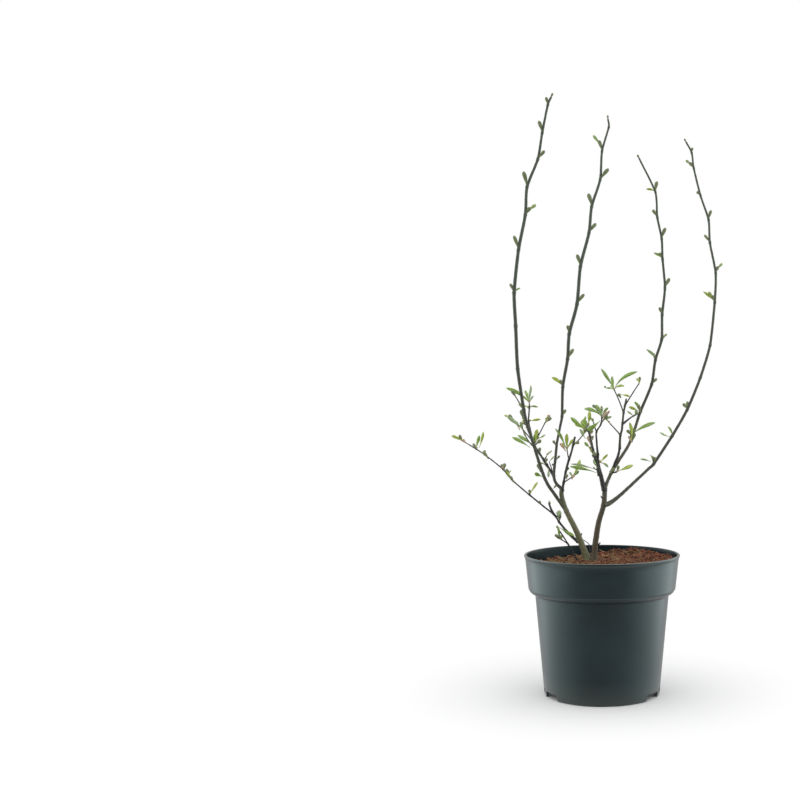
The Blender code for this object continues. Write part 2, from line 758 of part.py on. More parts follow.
def build_mass(name, room):
    """Sprigs on a spine, each ending in young leaves, all fused to one body."""
    mass = MASSES[name]
    chance = random.Random(mass.seed)
    spine = smooth(line_points(mass.spine, mass.depth), 2)
    radii = radii_along(spine, mass.thick)
    own = {name, *mass.parents}
    if name == "dry_stick":
        spine[0].z = GROUND
    body = tube(name, spine, radii, TWIG_SIDES + 2, flat_foot=name == "dry_stick")
    grown = [(spine, radii)]
    pieces = []

    def within(tip):
        return min((tip - point).length for point in spine) < mass.reach * MM

    def add_leaf(root, tip, width):
        if not (within(tip) and room.free(own, root, tip, width / 2)):
            return
        along = (tip - root).normalized()
        flat = Vector((0, 1, 0)).cross(along) + Vector((0, chance.uniform(-0.9, 0.9), 0))
        pieces.append(blade("piece", root - along * 0.6 * MM, tip, width, LEAF_THICK, flat))
        grown.append(([root, tip], [width / 2]))

    for height, heading, length, leaves in mass.sprigs:
        start = point_at_height(spine, height * MM)
        end = start
        if length:
            depth = chance.uniform(-TWIG_DEPTH_DEG, TWIG_DEPTH_DEG)
            end = start + heading_vector(heading, depth) * length * MM
            if not (within(end) and room.free(own, start, end, TWIG_THICK / 2)):
                continue
            thick = [TWIG_THICK / 2, TWIG_THICK / 2.6]
            pieces.append(tube("piece", [start, end], thick, TWIG_SIDES))
            grown.append(([start, end], thick))
        for (leaf_heading, size), depth in zip(leaves, leaf_turns(chance, len(leaves))):
            tip = end + heading_vector(leaf_heading, depth) * size * MM
            width = max(1.6 * MM, min(5.5 * MM, size * MM * LEAF_WIDTH_SHARE))
            add_leaf(end, tip, width)
        if length > 5:
            side = chance.choice((-1, 1))
            tip = end + Vector((chance.uniform(-0.4, 0.4), side, 0.5)).normalized() * FILL_LEAF
            add_leaf(end, tip, FILL_LEAF * LEAF_WIDTH_SHARE)
    fuse(body, pieces)
    if mass.parents:
        cut(body, clearance_tubes(mass.parents))
    for points, sizes in grown:
        room.add(name, points, sizes)
    dress(body, DRY_WOOD if name == "dry_stick" else YOUNG_LEAF)


def main():
    clear_scene()
    room = Room()
    build_pot()
    build_compost()
    for name in LIMBS:
        build_limb(name, room)
    for name in WHIPS:
        build_whip(name, room)
    for name in MASSES:
        build_mass(name, room)


main()
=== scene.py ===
"""Young magnolia shrub in a 19 cm nursery pot: its wood, leaves, surfaces, light and camera.

Metres, +Z up. The origin is the centre of the pot's flat underside, and the
viewer stands on the -Y side. Wood, twigs and leaves grow by the same seeded rule
as the solids that they stand for, and carry it on to stalks, scales and bud tips.
"""
import math
import random
from collections import namedtuple
from functools import lru_cache

import bpy
from mathutils import Matrix, Vector, kdtree, noise


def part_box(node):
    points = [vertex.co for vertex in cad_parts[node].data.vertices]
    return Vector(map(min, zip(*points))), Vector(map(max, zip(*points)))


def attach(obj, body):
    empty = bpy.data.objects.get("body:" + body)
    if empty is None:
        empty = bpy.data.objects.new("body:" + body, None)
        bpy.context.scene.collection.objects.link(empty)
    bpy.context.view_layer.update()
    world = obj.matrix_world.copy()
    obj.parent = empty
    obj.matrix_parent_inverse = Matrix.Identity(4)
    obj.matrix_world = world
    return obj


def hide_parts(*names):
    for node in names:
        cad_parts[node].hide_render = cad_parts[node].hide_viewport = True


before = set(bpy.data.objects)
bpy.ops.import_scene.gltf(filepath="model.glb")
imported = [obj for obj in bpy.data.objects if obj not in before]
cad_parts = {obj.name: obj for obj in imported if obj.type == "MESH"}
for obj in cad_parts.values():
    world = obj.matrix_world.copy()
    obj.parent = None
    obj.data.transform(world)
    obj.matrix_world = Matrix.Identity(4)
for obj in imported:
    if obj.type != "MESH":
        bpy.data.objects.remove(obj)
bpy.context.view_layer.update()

bl_info = {
    "name": "Young magnolia in a nursery pot",
    "version": (1, 0, 0),
    "blender": (4, 5, 0),
    "location": "View3D > Sidebar > Shrub",
    "description": "Builds a potted magnolia shrub piece by piece, with its light and camera",
    "category": "Object",
}

MM = 0.001
CLEAR = 0.3 * MM
BODY = "root"

# Lines are sighted on the upright plane through the pot's axis, from an eye at
# this distance and height. A point nearer or further keeps its sight line.
EYE_DISTANCE = 1465.0 * MM
EYE_HEIGHT = 357.0 * MM

# The pot
POT_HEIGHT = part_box("pot")[1].z
RIM_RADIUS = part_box("pot")[1].x
COLLAR_TOP_RADIUS = 93.0 * MM
COLLAR_FOOT_RADIUS = 89.6 * MM
COLLAR_FOOT_HEIGHT = 127.5 * MM
BODY_TOP_RADIUS = 81.3 * MM
BODY_TOP_HEIGHT = 121.5 * MM
BASE_RADIUS = 70.0 * MM
CHANNEL_HEIGHT = 8.0 * MM
CHANNEL_INNER_RADIUS = 52.0 * MM
# A turned body is closed at its axis by a flat face of this radius
MIDDLE_RADIUS = 3.0 * MM
# How much of a profile's side an arc at its corner may take, and its steps
ARC_REACH = 0.45
ARC_STEPS = 4
# Faces that meet at less than this angle are shaded as one
SHARPEST_SMOOTH_DEG = 32

# What is cut out of the pot's base: gaps between the feet, slots and drain holes
FEET = 3
FOOT_GAP_DEG = 24.0
FOOT_GAP_DEPTH = 8.0 * MM
FOOT_GAP_TOP = CHANNEL_HEIGHT - 0.6 * MM
FOOT_GAP_SHARE = 0.92
FOOT_GAP_WIDENING = 1.14
SLOT_TURN_DEG = 20.5
SLOT_SIDES = ((1,), (-1, 1), (-1,))
SLOT_SIZE = (8.0 * MM, 10.0 * MM, 5.0 * MM)
SLOT_HEIGHT = 6.6 * MM
DRAIN_RADIUS = 5.0 * MM
DRAIN_DEPTH = 6.0 * MM
DRAIN_SIDES = 32

# The compost's level, and how fine its bed is
GROUND = 161.0 * MM
COMPOST_GAP = 0.5 * MM
COMPOST_LOW_LEFT = 5.5 * MM
COMPOST_HIGH_RIGHT = 3.0 * MM
COMPOST_BUMP = 1.0 * MM
# It is level round the stems out to this radius, and takes up its slope over the fade
STEMS_LEFT_BY = 14 * MM
LEVEL_RADIUS = 14 * MM
LEVEL_FADE = 16 * MM
BED_RINGS = 54
# Heaps and hollows of the compost: sideways, back, height and spread in millimetres
COMPOST_HEAPS = (
    (-52, 58, -3.4, 32), (2, 80, -1.6, 22), (-62, 58, 4.2, 6), (38, 66, 4.4, 13), (17, 74, 4.0, 8),
    (60, 52, 2.6, 15), (-74, 0, -2.0, 22), (76, 8, 1.2, 18),
)
# Its clods and crumbs as low waves, each (height, width) in millimetres
CLODS = ((1.9, 9), (1.5, 3.4))
CLODS_SUNK = 0.7 * MM
# The least and greatest size of a crumb, and length and radius of a fibre
CRUMB_SIZES = (1.2 * MM, 3.6 * MM)
FIBRE_LENGTHS = (5 * MM, 20 * MM)
FIBRE_RADII = (0.3 * MM, 0.75 * MM)
# Crumbs are redder in patches of this width and to the right. Straw lies more at the left.
RED_PATCH = 14 * MM
REDDEST = 1.6
PALEST = 1.7
STRAW_SHARE = 0.22
# What is strewn: its material, colour, how far its colour is darkened in the hollows as painted shade
# and paled on the tops as painted light, and grain in millimetres
LITTER = {
    "coir_crumbs": ("red_coir", "red", 0.35, 1.7, 3.0),
    "peat_crumbs": ("dark_peat", "dark", 0.5, 1.4, 2.0),
    "bark_crumbs": ("bark_crumb", "pale", 0.12, 0.75, 3.0),
    "coir_fibres": ("coir_fibre", "red", 0.6, 1.7, 2.4),
    "straw_fibres": ("straw", "pale", 0.6, 1.25, 1.2),
}
COMPOST_SEED, TWIG_SEED, BUD_SEED, LEAF_SEED = 31, 41, 51, 61

# The rule of growth
FLARE = 0.22
FLARE_HEIGHT = 6.0 * MM
LIMB_PARTS = 3
SPINE_PARTS = 2
TWIG_THICK = 1.7 * MM
TWIG_RADII = [TWIG_THICK / 2, TWIG_THICK / 2.6]
TWIG_DEPTH_DEG = 22.0
LONG_SPRIG = 5
LEAF_WIDTH_SHARE = 0.24
LEAF_WIDTHS = (1.6 * MM, 5.5 * MM)
LEAF_DEPTH_DEG = 38.0
LEAF_DEPTH_SHARES = (0.25, 1.0)
LEAF_LEAN = 0.9
BUD_WIDTH_SHARE = 0.28
BUD_LEAST_WIDTH = 2.0 * MM
BUD_TURN_DEG = 35.0
SIDE_BUD_SPLAY_DEG = 27.0
SIDE_LEAF_SPLAY_DEG = 55.0
FILL_LEAF = 13.0 * MM
FILL_SPREAD = 0.4
FILL_RISE = 0.5
STILL_A_BUD = 10.8 * MM
WHIP_ROOM = 1.0 * MM
# A whip's last bud: how far it starts below the tip, how far it stands above it, its width
LAST_BUD = (2.0 * MM, 5.0 * MM, 2.2 * MM)

# A bud's fullness against its solid's, and the bounds of its width
BUD_FULLNESS = 1.12
BUD_SLIMMEST = 3.9 * MM
BUD_ROUNDEST = 0.5
BUD_BROADEST = 4.8 * MM
BUD_BOW = 0.14
BUD_SIDES = 8
# A bud that runs on from its whip keeps its solid's width
RUNS_ON_DEG = 5.0
# A bursting bud: how often and from what length, where the leaf tip leaves the bud, how long
# and wide the tip is against the bud, and how long and wide the bud that is left
BURST_CHANCE = 0.45
BURSTING_BUD = 7.6 * MM
BURST_START = 0.42
BURST_TIP = (0.66, 0.78)
BURST_BUD = (0.74, 0.95)
# A scale on a bud, and the small ones at the end of a sprig
SCALE_CHANCE = 0.35
SCALE_SHARE = 0.7
SCALE_WIDTH = 1.8 * MM
SMALL_SCALES = 2
SMALL_SCALE_WIDTH = 1.6 * MM
SCALE_SIDES = 6

# A leaf's stalk, where it opens to the blade, and the waves of the blade's edges
LEAF_BROADEST = 4.7 * MM
STALK_HALF_WIDTH = 0.38 * MM
STALK_HALF_THICK = 0.34 * MM
BLADE_START = 0.08
BLADE_OPENING = 0.12
EDGE_WAVE = 0.12
# How far a blade sets out along its shoot against its own way, its arch and its twist
LEAF_LEAD = (0.55, 0.75)
LEAF_ARCH = (0.02, 0.12)
LEAF_TWIST = 0.5
# How far the midrib stands out below, how deep its groove is above, and how full the blade
# is half way to its edge
RIB = 1.2
GROOVE = 0.7
BLADE_HALF_LIFT = 0.42
# How often each kind of leaf is dealt out
LEAF_KINDS = {"fresh": 4, "green": 5, "silver": 2}

# A bar of wood: how round it is, and its share of the furrows' depth and the nodes' swelling
BARK_RELIEF = {"limb": (6, 1.0, 0.7), "whip": (4, 0.6, 1.0), "spine": (3, 0.7, 0.8)}
FURROW_LENGTH = 7.0 * MM
LUMP_SIZE = 3.5 * MM
LUMP_SHARE = 1.2
NODE_RING = 1.7 * MM
# Corners nearer to a bar's middle line than this have no outward way
ON_THE_LINE = 0.05 * MM
MERGE_WITHIN = 0.01 * MM
# Steps along a bar and parts between two nodes of its line
BAR_STEP_MM = 1.2
WHIP_STEP_MM = 1.6
CURVE_PARTS = 8
FINE_TWIG_PARTS = 6
TWIG_SIDES = 8
# How deep a foot is sunk into what it stands in
SUNK = 2.0 * MM
# A bark's lower and upper colour, and the heights in millimetres where one turns to the other
BARKS = {
    "olive_magnolia_bark": ("stem", "bough", 210, 270),
    "brown_magnolia_bark": ("brown", "bough", 200, 280),
    "bough_bark": ("stem", "bough", 200, 240),
    "grey_bough_bark": ("grey", "grey", 200, 300),
    "pruned_branch_bark": ("pruned", "pruned", 200, 300),
    "whip_bark": ("bough", "whip", 360, 580),
    "twig_bark": ("pruned", "bough", 250, 350),
}

# The stage: the floor, a wide light overhead, and panels that only the gloss sees
FLOOR_RADIUS = 0.8
FLOOR_SIDES = 96
FLOOR_DROP = 0.2 * MM
SUN_TILT_DEG = 28
SUN_ANGLE_DEG = 120
SIDE_TURN_DEG = 96
PANELS = (
    ((-1.15, -0.15, 0.5), (90, 0, -SIDE_TURN_DEG), 1.0),
    ((1.15, -0.15, 0.5), (90, 0, SIDE_TURN_DEG), 1.0),
    ((0, 0, 1.9), (0, 0, 0), 0.5),
)
PANEL_SIZE = (2.3, 1.6)
PANEL_TINT = (0.84, 1.0, 1.02)
# Light from below: how strong it is from straight down, at 0, to the level, at 1
BELOW_STOPS = ((0.08, 0.25), (0.22, 1.0), (0.40, 1.0), (0.56, 0.0))

# A limb's line is in millimetres, as (sideways, height) pairs, and its depth and
# thickness run evenly from foot to tip.
Limb = namedtuple("Limb", "line depth thick")
LIMBS = {
    "stem_left": Limb(
        ((-17.3, 161), (-22.5, 175), (-32.2, 199), (-43.5, 221.5), (-49.3, 240), (-48.8, 248.3)),
        (3, 1), (7.7, 5.2),
    ),
    "stem_right": Limb(
        ((-9.4, 161), (-8.4, 179), (-4.2, 207), (2.1, 229.2), (3.4, 250)), (-2, -1), (6.7, 5.2),
    ),
    "bough_1_far_left": Limb(
        ((-43.5, 221.5), (-58, 242), (-68, 257.3), (-76.4, 279.6), (-84.5, 305.7), (-92.5, 330)),
        (2, -27), (4.3, 3.6),
    ),
    "bough_2_inner_left": Limb(
        ((-48.8, 248.3), (-56.5, 256), (-58.7, 266), (-57, 284), (-54.9, 304.5), (-50.5, 328)),
        (1, 22), (3.8, 3.0),
    ),
    "bough_3_inner_right": Limb(
        ((3.4, 250), (11.8, 269), (22, 285.3), (32.8, 302.6), (39.8, 321), (43.5, 333)),
        (-1, -17), (4.3, 3.4),
    ),
    "bough_4_far_right": Limb(
        ((2.1, 229.2), (9, 231), (21.7, 240.4), (47.6, 264.3), (60, 276)), (-1.5, 26), (4.3, 3.6),
    ),
    "branch_low_left": Limb(
        ((-29, 184), (-36.5, 190), (-45, 199), (-52, 207.5)), (5, 18), (3.0, 2.6),
    ),
    "branch_left": Limb(((-58.5, 264), (-62.8, 270.3), (-67, 277)), (7, 13), (2.8, 2.6)),
    "branch_centre": Limb(
        ((3, 248), (1.5, 257), (-2.9, 262), (-3.8, 274), (-5.2, 291)), (-2, -14), (3.2, 2.6),
    ),
    "branch_right": Limb(
        ((11.8, 269), (16.5, 281.4), (19.7, 289.2), (21.6, 298)), (-5, -20), (3.0, 2.8),
    ),
}

# How much fuller a limb is at its foot, as (share, reach in millimetres)
FOOT_SWELL = {
    "bough_4_far_right": (0.8, 11.0), "branch_centre": (1.15, 40.0), "leaves_centre": (0.9, 26.0),
    "branch_right": (0.55, 11.0), "branch_left": (0.55, 11.0), "branch_low_left": (0.55, 11.0),
}
BOUGH_SWELL = (0.35, 4.0)
SPINE_SWELL = (0.3, 3.0)
STEM_FULLNESS = {"stem_left": 1.05, "stem_right": 1.14}
SPINE_FULLNESS = 1.1
# A sprig's twig: how much fuller its two ends are, and how far it bends
TWIG_END_FULLNESS = (1.4, 1.25)
TWIG_BEND = 0.06
# How full a whip is at its foot, how much fuller towards its tip, and how much fuller half
# way up than its taper gives
WHIP_FULLNESS = (1.07, 0.38)
WHIP_MIDDLE = {"whip_1_far_left": 0.25, "whip_2_inner_left": 0.6}
# How far a whip's line is rounded off at its nodes, from corners to a full curve
WHIP_ROUNDING = 0.6
# A limb that bends less sharply to the eye than its solid does
EASED_LINES = {
    "branch_centre": ((3, 247), (0.8, 255), (-1.5, 265), (-4.2, 276), (-5.4, 284), (-5.2, 291)),
}

# A whip is a chain of nodes, each (sideways, height, bud, leaf) in millimetres. A
# bud or leaf with a minus sign stands on the left, and 0 is none.
Whip = namedtuple("Whip", "bough nodes tip depth thick seed")
WHIPS = {
    "whip_1_far_left": Whip(
        "bough_1_far_left",
        (
            (-95.5, 345, -10, 0), (-103, 395, 0, 0), (-105.4, 447, 0, 0), (-107.3, 488, -12, 10),
            (-102, 540, -18, 0), (-93.6, 583, 15, 0), (-91.6, 617, -19, 0), (-78.3, 651, 13, 0),
            (-73, 683, -15, 0), (-66.3, 717, -10, 0),
        ),
        (-62.1, 727), (-27, -70), (3.6, 1.8), 11,
    ),
    "whip_2_inner_left": Whip(
        "bough_2_inner_left",
        (
            (-48.8, 337, 10, 0), (-47.9, 373, -10, -19), (-42, 407, 15, 0), (-40, 438, -11, 0),
            (-30.5, 474, 16, 0), (-26.4, 520, -16, 0), (-15.9, 561, 16, 0), (-12.7, 593, -18, 0),
            (-2.2, 626, 18, 0), (0, 661, -20, 0), (8.3, 690, 0, 0),
        ),
        (7.3, 700), (22, 42), (3.0, 1.6), 12,
    ),
    "whip_3_inner_right": Whip(
        "bough_3_inner_right",
        (
            (46.9, 343, -8, -14), (60.6, 376, 10, 0), (65.2, 406, -8, -18), (72.9, 431, 8, 0),
            (73.4, 461, -10, 0), (76.9, 494, 13, 0), (73.9, 529, -9, -14), (72.9, 554, 14, 0),
            (67.5, 580, -11, 0), (65.2, 611, 13, -12),
        ),
        (45.3, 652), (-17, -30), (3.4, 1.5), 13,
    ),
    "whip_4_far_right": Whip(
        "bough_4_far_right",
        (
            (63.2, 279, -9, -13), (85.6, 313, 0, -14), (104, 345, -12, 0), (120, 384, 0, 0),
            (132, 424, 0, 0), (137.6, 476, -14, -21), (138.8, 512, 14, 0), (131.7, 549, -13, 0),
            (130.1, 577, 13, 0), (120.1, 607, -7, 0), (112, 640, -13, 0), (109.5, 659, 7, 0),
        ),
        (102.6, 672), (26, 82), (3.6, 1.6), 14,
    ),
}

# A mass grows on a spine like a limb's. A sprig leaves the spine at a height, runs
# at a heading (0 right, 90 up, 180 left) for a length, and ends in leaves, each
# (heading, length). With no length its leaves stand on the spine itself.
Mass = namedtuple("Mass", "spine depth thick parents reach seed sprigs")
MASSES = {
    "leaves_low_left": Mass(
        (
            (-52, 207.5), (-58.8, 217), (-75.7, 230.6), (-109, 258.6), (-121.6, 273), (-145.8, 292),
            (-171, 307.7),
        ),
        (18, 42), (2.0, 1.2), ("branch_low_left",), 34, 21,
        (
            (208, 85, 0, ((80, 10),)),
            (217, 111, 13, ((100, 4),)),
            (241, 70, 0, ((92, 7), (60, 18))),
            (259, 125, 7, ((112, 9),)),
            (272, 100, 0, ((110, 7),)),
            (290, 90, 0, ((95, 6),)),
            (297, 90, 0, ((75, 18), (125, 8))),
            (307, 155, 0, ((154, 16), (118, 9))),
        ),
    ),
    "leaves_left": Mass(
        ((-67, 277), (-76.4, 292), (-82.4, 302), (-87, 318), (-89.6, 331.4), (-88.5, 350)),
        (13, 20), (2.6, 1.6), ("branch_left",), 50, 22,
        (
            (278, 160, 0, ((165, 12), (112, 10))),
            (283, 60, 6, ((48, 10),)),
            (292, 95, 0, ((84, 7),)),
            (301, 148, 0, ((150, 26), (81, 17))),
            (303, 63, 30, ((58, 9), (38, 10))),
            (304, 128, 21, ((112, 9), (137, 26))),
            (306, 117, 17, ((100, 4),)),
            (307, 25, 6, ((28, 11),)),
            (322, 140, 8, ((165, 7), (92, 8))),
            (331, 20, 0, ((8, 15),)),
            (347, 150, 0, ((152, 10), (6, 11))),
            (350, 95, 3, ((86, 18), (108, 15), (130, 12), (62, 11), (146, 34))),
        ),
    ),
    "leaves_middle": Mass(
        ((-48.5, 246), (-46.5, 258), (-42.5, 277), (-37.2, 294), (-33, 312)),
        (0, -22), (2.8, 2.2), ("stem_left", "bough_2_inner_left"), 45, 23,
        (
            (256, 33, 11, ((64, 24), (42, 13))),
            (269, 60, 0, ((58, 7),)),
            (284, 101, 12, ((91, 20), (130, 11), (118, 30), (56, 16))),
            (301, 48, 20, ((47, 13), (70, 8))),
            (304, 20, 0, ((12, 7),)),
        ),
    ),
    "leaves_centre": Mass(
        ((-3.2, 265), (-5, 275), (-7.7, 284), (-10.7, 295), (-13.4, 308), (-16, 318)),
        (-7, -34), (2.6, 2.0), ("branch_centre",), 62, 24,
        (
            (271, 158, 5, ((168, 30),)),
            (279, 30, 3, ((46, 15), (-30, 13))),
            (284, 150, 0, ((118, 8),)),
            (296, 170, 0, ((-62, 8), (140, 6))),
            (314, 70, 0, ((62, 7),)),
            (318, 145, 5, ((90, 16), (140, 23), (152, 15), (60, 9))),
        ),
    ),
    "leaves_right": Mass(
        ((21.6, 298), (22.3, 313), (24.3, 321), (26.2, 340), (29.7, 358.5)),
        (-20, -34), (2.8, 2.0), ("branch_right",), 60, 25,
        (
            (314, 132, 19, ((125, 4),)),
            (328, 36, 18, ((30, 5), (68, 7))),
            (341, 112, 30, ((122, 30), (97, 17), (38, 35), (168, 10), (20, 13))),
            (350, 58, 31, ((85, 8),)),
        ),
    ),
    "leaves_top_centre": Mass(
        ((-5.2, 291), (-6.5, 306), (-6.7, 318), (-1.5, 327), (0, 337)),
        (-14, -17), (2.6, 1.5), ("branch_centre",), 40, 26,
        (
            (318, 108, 12, ((104, 5),)),
            (328, 55, 4, ((52, 9),)),
            (336, 90, 0, ((117, 17), (128, 14), (156, 24), (57, 14), (-128, 26), (92, 14))),
        ),
    ),
    "spur_right_low": Mass(
        ((11.8, 269), (15.5, 268.5), (18, 269.5)),
        (-5, -10), (1.8, 1.6), ("bough_3_inner_right", "branch_right"), 34, 27,
        ((269.4, 20, 0, ((20, 22), (75, 8))),),
    ),
    "spur_right_high": Mass(
        ((35.5, 309), (35, 312), (35.5, 315)),
        (-13, -19), (1.8, 1.6), ("bough_3_inner_right",), 40, 28,
        ((314, 60, 0, ((94, 20), (26, 34), (130, 8), (62, 10))),),
    ),
    "dry_stick": Mass(
        ((-30.5, 162), (-36.5, 173), (-48.3, 192), (-55.7, 202.6)),
        (-3, -12), (1.8, 1.4), (), 26, 29,
        ((181, 145, 8, ((146, 9), (112, 14))),),
    ),
}

# Finer growth between the masses' sprigs, sighted like the lines, in millimetres.
# A leaf is (kind, root, root height, tip, tip height, width, bow in degrees, depth).
FINE_LEAVES = (
    ("fresh", -22, 316.5, -22, 334, 8.5, 8, -12),
    ("fresh", -16.5, 325.5, -15.5, 344, 4.9, -10, -20),
    ("green", -2, 332, -20, 318.5, 6.1, 20, -20),
    ("silver", -19.5, 309.5, -27.5, 322, 4.4, 20, -22),
    ("fresh", -10, 288.5, -14.5, 299, 4.2, -20, -16),
    ("silver", -5.5, 274, -10, 285, 4.2, 15, -15),
    ("fresh", 35.5, 307, 33.5, 330, 4.2, -40, -24),
    ("fresh", 45.5, 342.5, 32.5, 348.5, 3.9, -30, -22),
    ("silver", 39.5, 336, 30.5, 344, 2.7, -20, -24),
    ("silver", 83.5, 312, 70, 317.5, 2.7, 25, 32),
    ("silver", 60, 281.5, 46.5, 285, 2.7, -30, 30),
    ("silver", -53.5, 211, -51.5, 222.5, 7.3, 0, 14),
    ("green", -52, 201.5, -33.5, 190.5, 4.6, -10, -2),
    ("green", -73, 263, -82.5, 267.5, 4.9, -25, -6),
    ("fresh", -64.5, 281.5, -58.5, 288.5, 2.2, 10, 12),
    ("silver", -65.5, 273.5, -65, 262.5, 3.9, 0, -2),
    ("silver", -88.5, 356, -87, 375.5, 4.2, -8, 14),
    ("green", -89.5, 358, -94, 369, 3.4, 10, 22),
    ("fresh", -81.5, 304.5, -79, 321.5, 5.9, -10, 8),
    ("fresh", -113, 336, -119.5, 338.5, 2.9, 0, 16),
    ("fresh", 23, 363.5, 34, 361, 2.9, 25, -26),
    ("green", 6, 371.5, 2.5, 373.5, 2.7, 0, -30),
    ("fresh", -110, 259, -117, 272, 3.7, -10, 30),
    ("green", -49.5, 188.5, -55, 204.5, 3.9, 10, -14),
    ("green", -14, 298.5, -21.5, 305.5, 3.7, 20, -24),
    ("silver", 0.5, 331.5, 12, 337, 2.9, 15, -12),
    ("fresh", -150, 298.5, -145, 318.5, 4.2, -12, 38),
    ("fresh", -166, 305.5, -184, 313, 3.7, -14, 41),
    ("green", -88, 299, -110, 311.5, 4.4, -18, 10),
    ("green", -7, 268, -39.5, 276, 4.9, -20, -10),
)

# How far the depth of such a leaf's or bud's tip may differ from its root's
FINE_LEAF_DEPTH = 7
FINE_BUD_DEPTH = 2.5

# A bud or scale is (root, root height, tip, tip height, width, depth).
FINE_BUDS = (
    (36.5, 305.5, 40.5, 316.5, 4.2, -18),
    (47, 341.5, 43.5, 351.5, 4.2, -20),
    (62.5, 279, 62.5, 288.5, 3.4, 28),
    (-75, 269, -79, 279, 4.2, -5),
    (-68.5, 279.5, -67.5, 286, 3.4, 8),
    (-105, 360, -110.5, 368.5, 4.2, -22),
    (-96.5, 334, -98.5, 345.5, 5.4, -18),
    (-108, 332.5, -114.5, 338.5, 4.6, 14),
    (-81, 302.5, -74, 308, 4.9, 6),
    (23, 359.5, 19.5, 364.5, 4.2, -30),
    (-49.5, 186.5, -58, 192.5, 3.9, -14),
    (-5.5, 346, -12, 350.5, 3.9, -20),
    (-91, 307, -96.5, 319.5, 2.2, 10),
    (-59, 249, -56, 252.5, 2.7, 0),
    (-43.5, 260.5, -42.5, 266.5, 3.7, -20),
    (-11.5, 308, -11.5, 313.5, 3.2, -24),
    (-57, 277.5, -61.5, 278, 2.9, 14),
    (-56.5, 302, -60, 307.5, 3.7, 14),
    (-55, 284.5, -51.5, 289, 2.9, 14),
    (-138.5, 285, -146, 294, 4.6, 34),
    (-119.5, 271.5, -118.8, 280, 4.4, 28),
    (-108, 256.5, -112.5, 264, 3.9, 27),
    (-74, 229.5, -77, 234, 2.7, 22),
    (105.5, 345, 98.3, 352.7, 4.2, 41),
    (10, 267.5, 15.5, 274, 5.4, -9),
)
FINE_SCALES = (
    (-100.5, 320.5, -105.5, 331.5, 3.4, 12),
    (-13.5, 301.5, -17.5, 313, 4.2, -18),
    (36.5, 305, 32, 313, 2.9, -22),
    (-44.5, 294.5, -51.5, 304.5, 3.7, -8),
    (-37, 260, -34, 266, 3.9, -14),
    (2.5, 333.5, 9.5, 344, 2.9, -18),
    (1, 334, 5.5, 343, 2.7, -22),
    (-167, 305, -170, 309, 3.2, 40),
    (-67, 332.5, -64, 339, 4.2, 18),
)

# A twig is (line, thickness at the foot, thickness at the tip, depth).
FINE_TWIGS = (
    (((-98, 348.5), (-105, 360.5)), 1.7, 1.3, -18),
    (((-55, 213.5), (-59, 218), (-62.5, 224.5), (-65, 231.5)), 3.5, 2.3, 14),
    (((-23, 186.5), (-16, 181), (-15, 175), (-14, 165.5)), 1.1, 1, 26),
    (((-60.5, 267.5), (-61.8, 274), (-64.5, 281.5)), 1.6, 1, 9),
    (((-26.5, 189), (-24.5, 194.5)), 1.8, 1.3, 2),
    (((-5, 179.5), (-2, 183)), 2, 1.5, -2),
    (((44.5, 340.5), (35.5, 335.5), (26.5, 327.5)), 1.6, 1.3, -22),
    (((-91, 308.5), (-96.5, 320)), 1.6, 1.2, 10),
    (((-76.5, 292), (-87.5, 304), (-95, 315)), 1.8, 1.2, 10),
    (((1.5, 234.5), (-1.5, 240)), 2, 1.3, -2),
)

# A leaf's outline, as (share of its length, share of its half width)
LEAF_OUTLINE = (
    (0.0, 0.12), (0.10, 0.12), (0.22, 0.26), (0.34, 0.48), (0.47, 0.74), (0.60, 0.94),
    (0.71, 1.0), (0.81, 0.90), (0.90, 0.64), (0.97, 0.28), (1.0, 0.0),
)
# A bud's outline in the same shares
BUD_OUTLINE = (
    (0.0, 0.42), (0.14, 0.38), (0.28, 0.45), (0.42, 0.66), (0.56, 0.89), (0.70, 1.0),
    (0.83, 0.96), (0.93, 0.68), (1.0, 0.0),
)


def linear(hex_colour):
    """An sRGB hex colour as linear red, green and blue."""
    parts = (int(hex_colour[i:i + 2], 16) / 255 for i in (1, 3, 5))
    return tuple(c / 12.92 if c <= 0.04045 else ((c + 0.055) / 1.055) ** 2.4 for c in parts)


def amount_prop(name, description, default, **kind):
    return bpy.props.FloatProperty(name=name, description=description, default=default, **kind)


def size_prop(name, description, default):
    return amount_prop(name, description, default, min=0.0, unit="LENGTH", precision=4)


def count_prop(name, description, default, least=0):
    return bpy.props.IntProperty(name=name, description=description, default=default, min=least)


def colour_prop(name, description, hex_colour):
    return bpy.props.FloatVectorProperty(
        name=name, description=description, default=linear(hex_colour), size=3,
        min=0.0, max=1.0, subtype="COLOR",
    )


class ShrubPotSettings(bpy.types.PropertyGroup):
    wall: size_prop("Wall", "Thickness of the moulded wall", 1.5 * MM)
    sides: count_prop("Sides", "Steps round the pot and its compost", 144, 24)
    plastic: colour_prop("Plastic", "Colour of the moulded pot", "#1a2529")
    # Dusty on the foot; on the top of the lip the same colour is a painted highlight
    dust_and_highlight_colour: colour_prop("Dust", "Dust on the pot's foot and lip", "#7d7a70")
    roughness: amount_prop("Roughness", "How dull the plastic is", 0.31, subtype="FACTOR")


class ShrubCompostSettings(bpy.types.PropertyGroup):
    crumbs: count_prop("Crumbs", "Loose lumps on the top", 3000)
    fibres: count_prop("Fibres", "Coir fibres on the top", 1500)
    red: colour_prop("Coir", "Reddish coir", "#764b37")
    dark: colour_prop("Peat", "Dark peat between the coir", "#3c261c")
    pale: colour_prop("Straw", "Dry pale fibre", "#a08560")


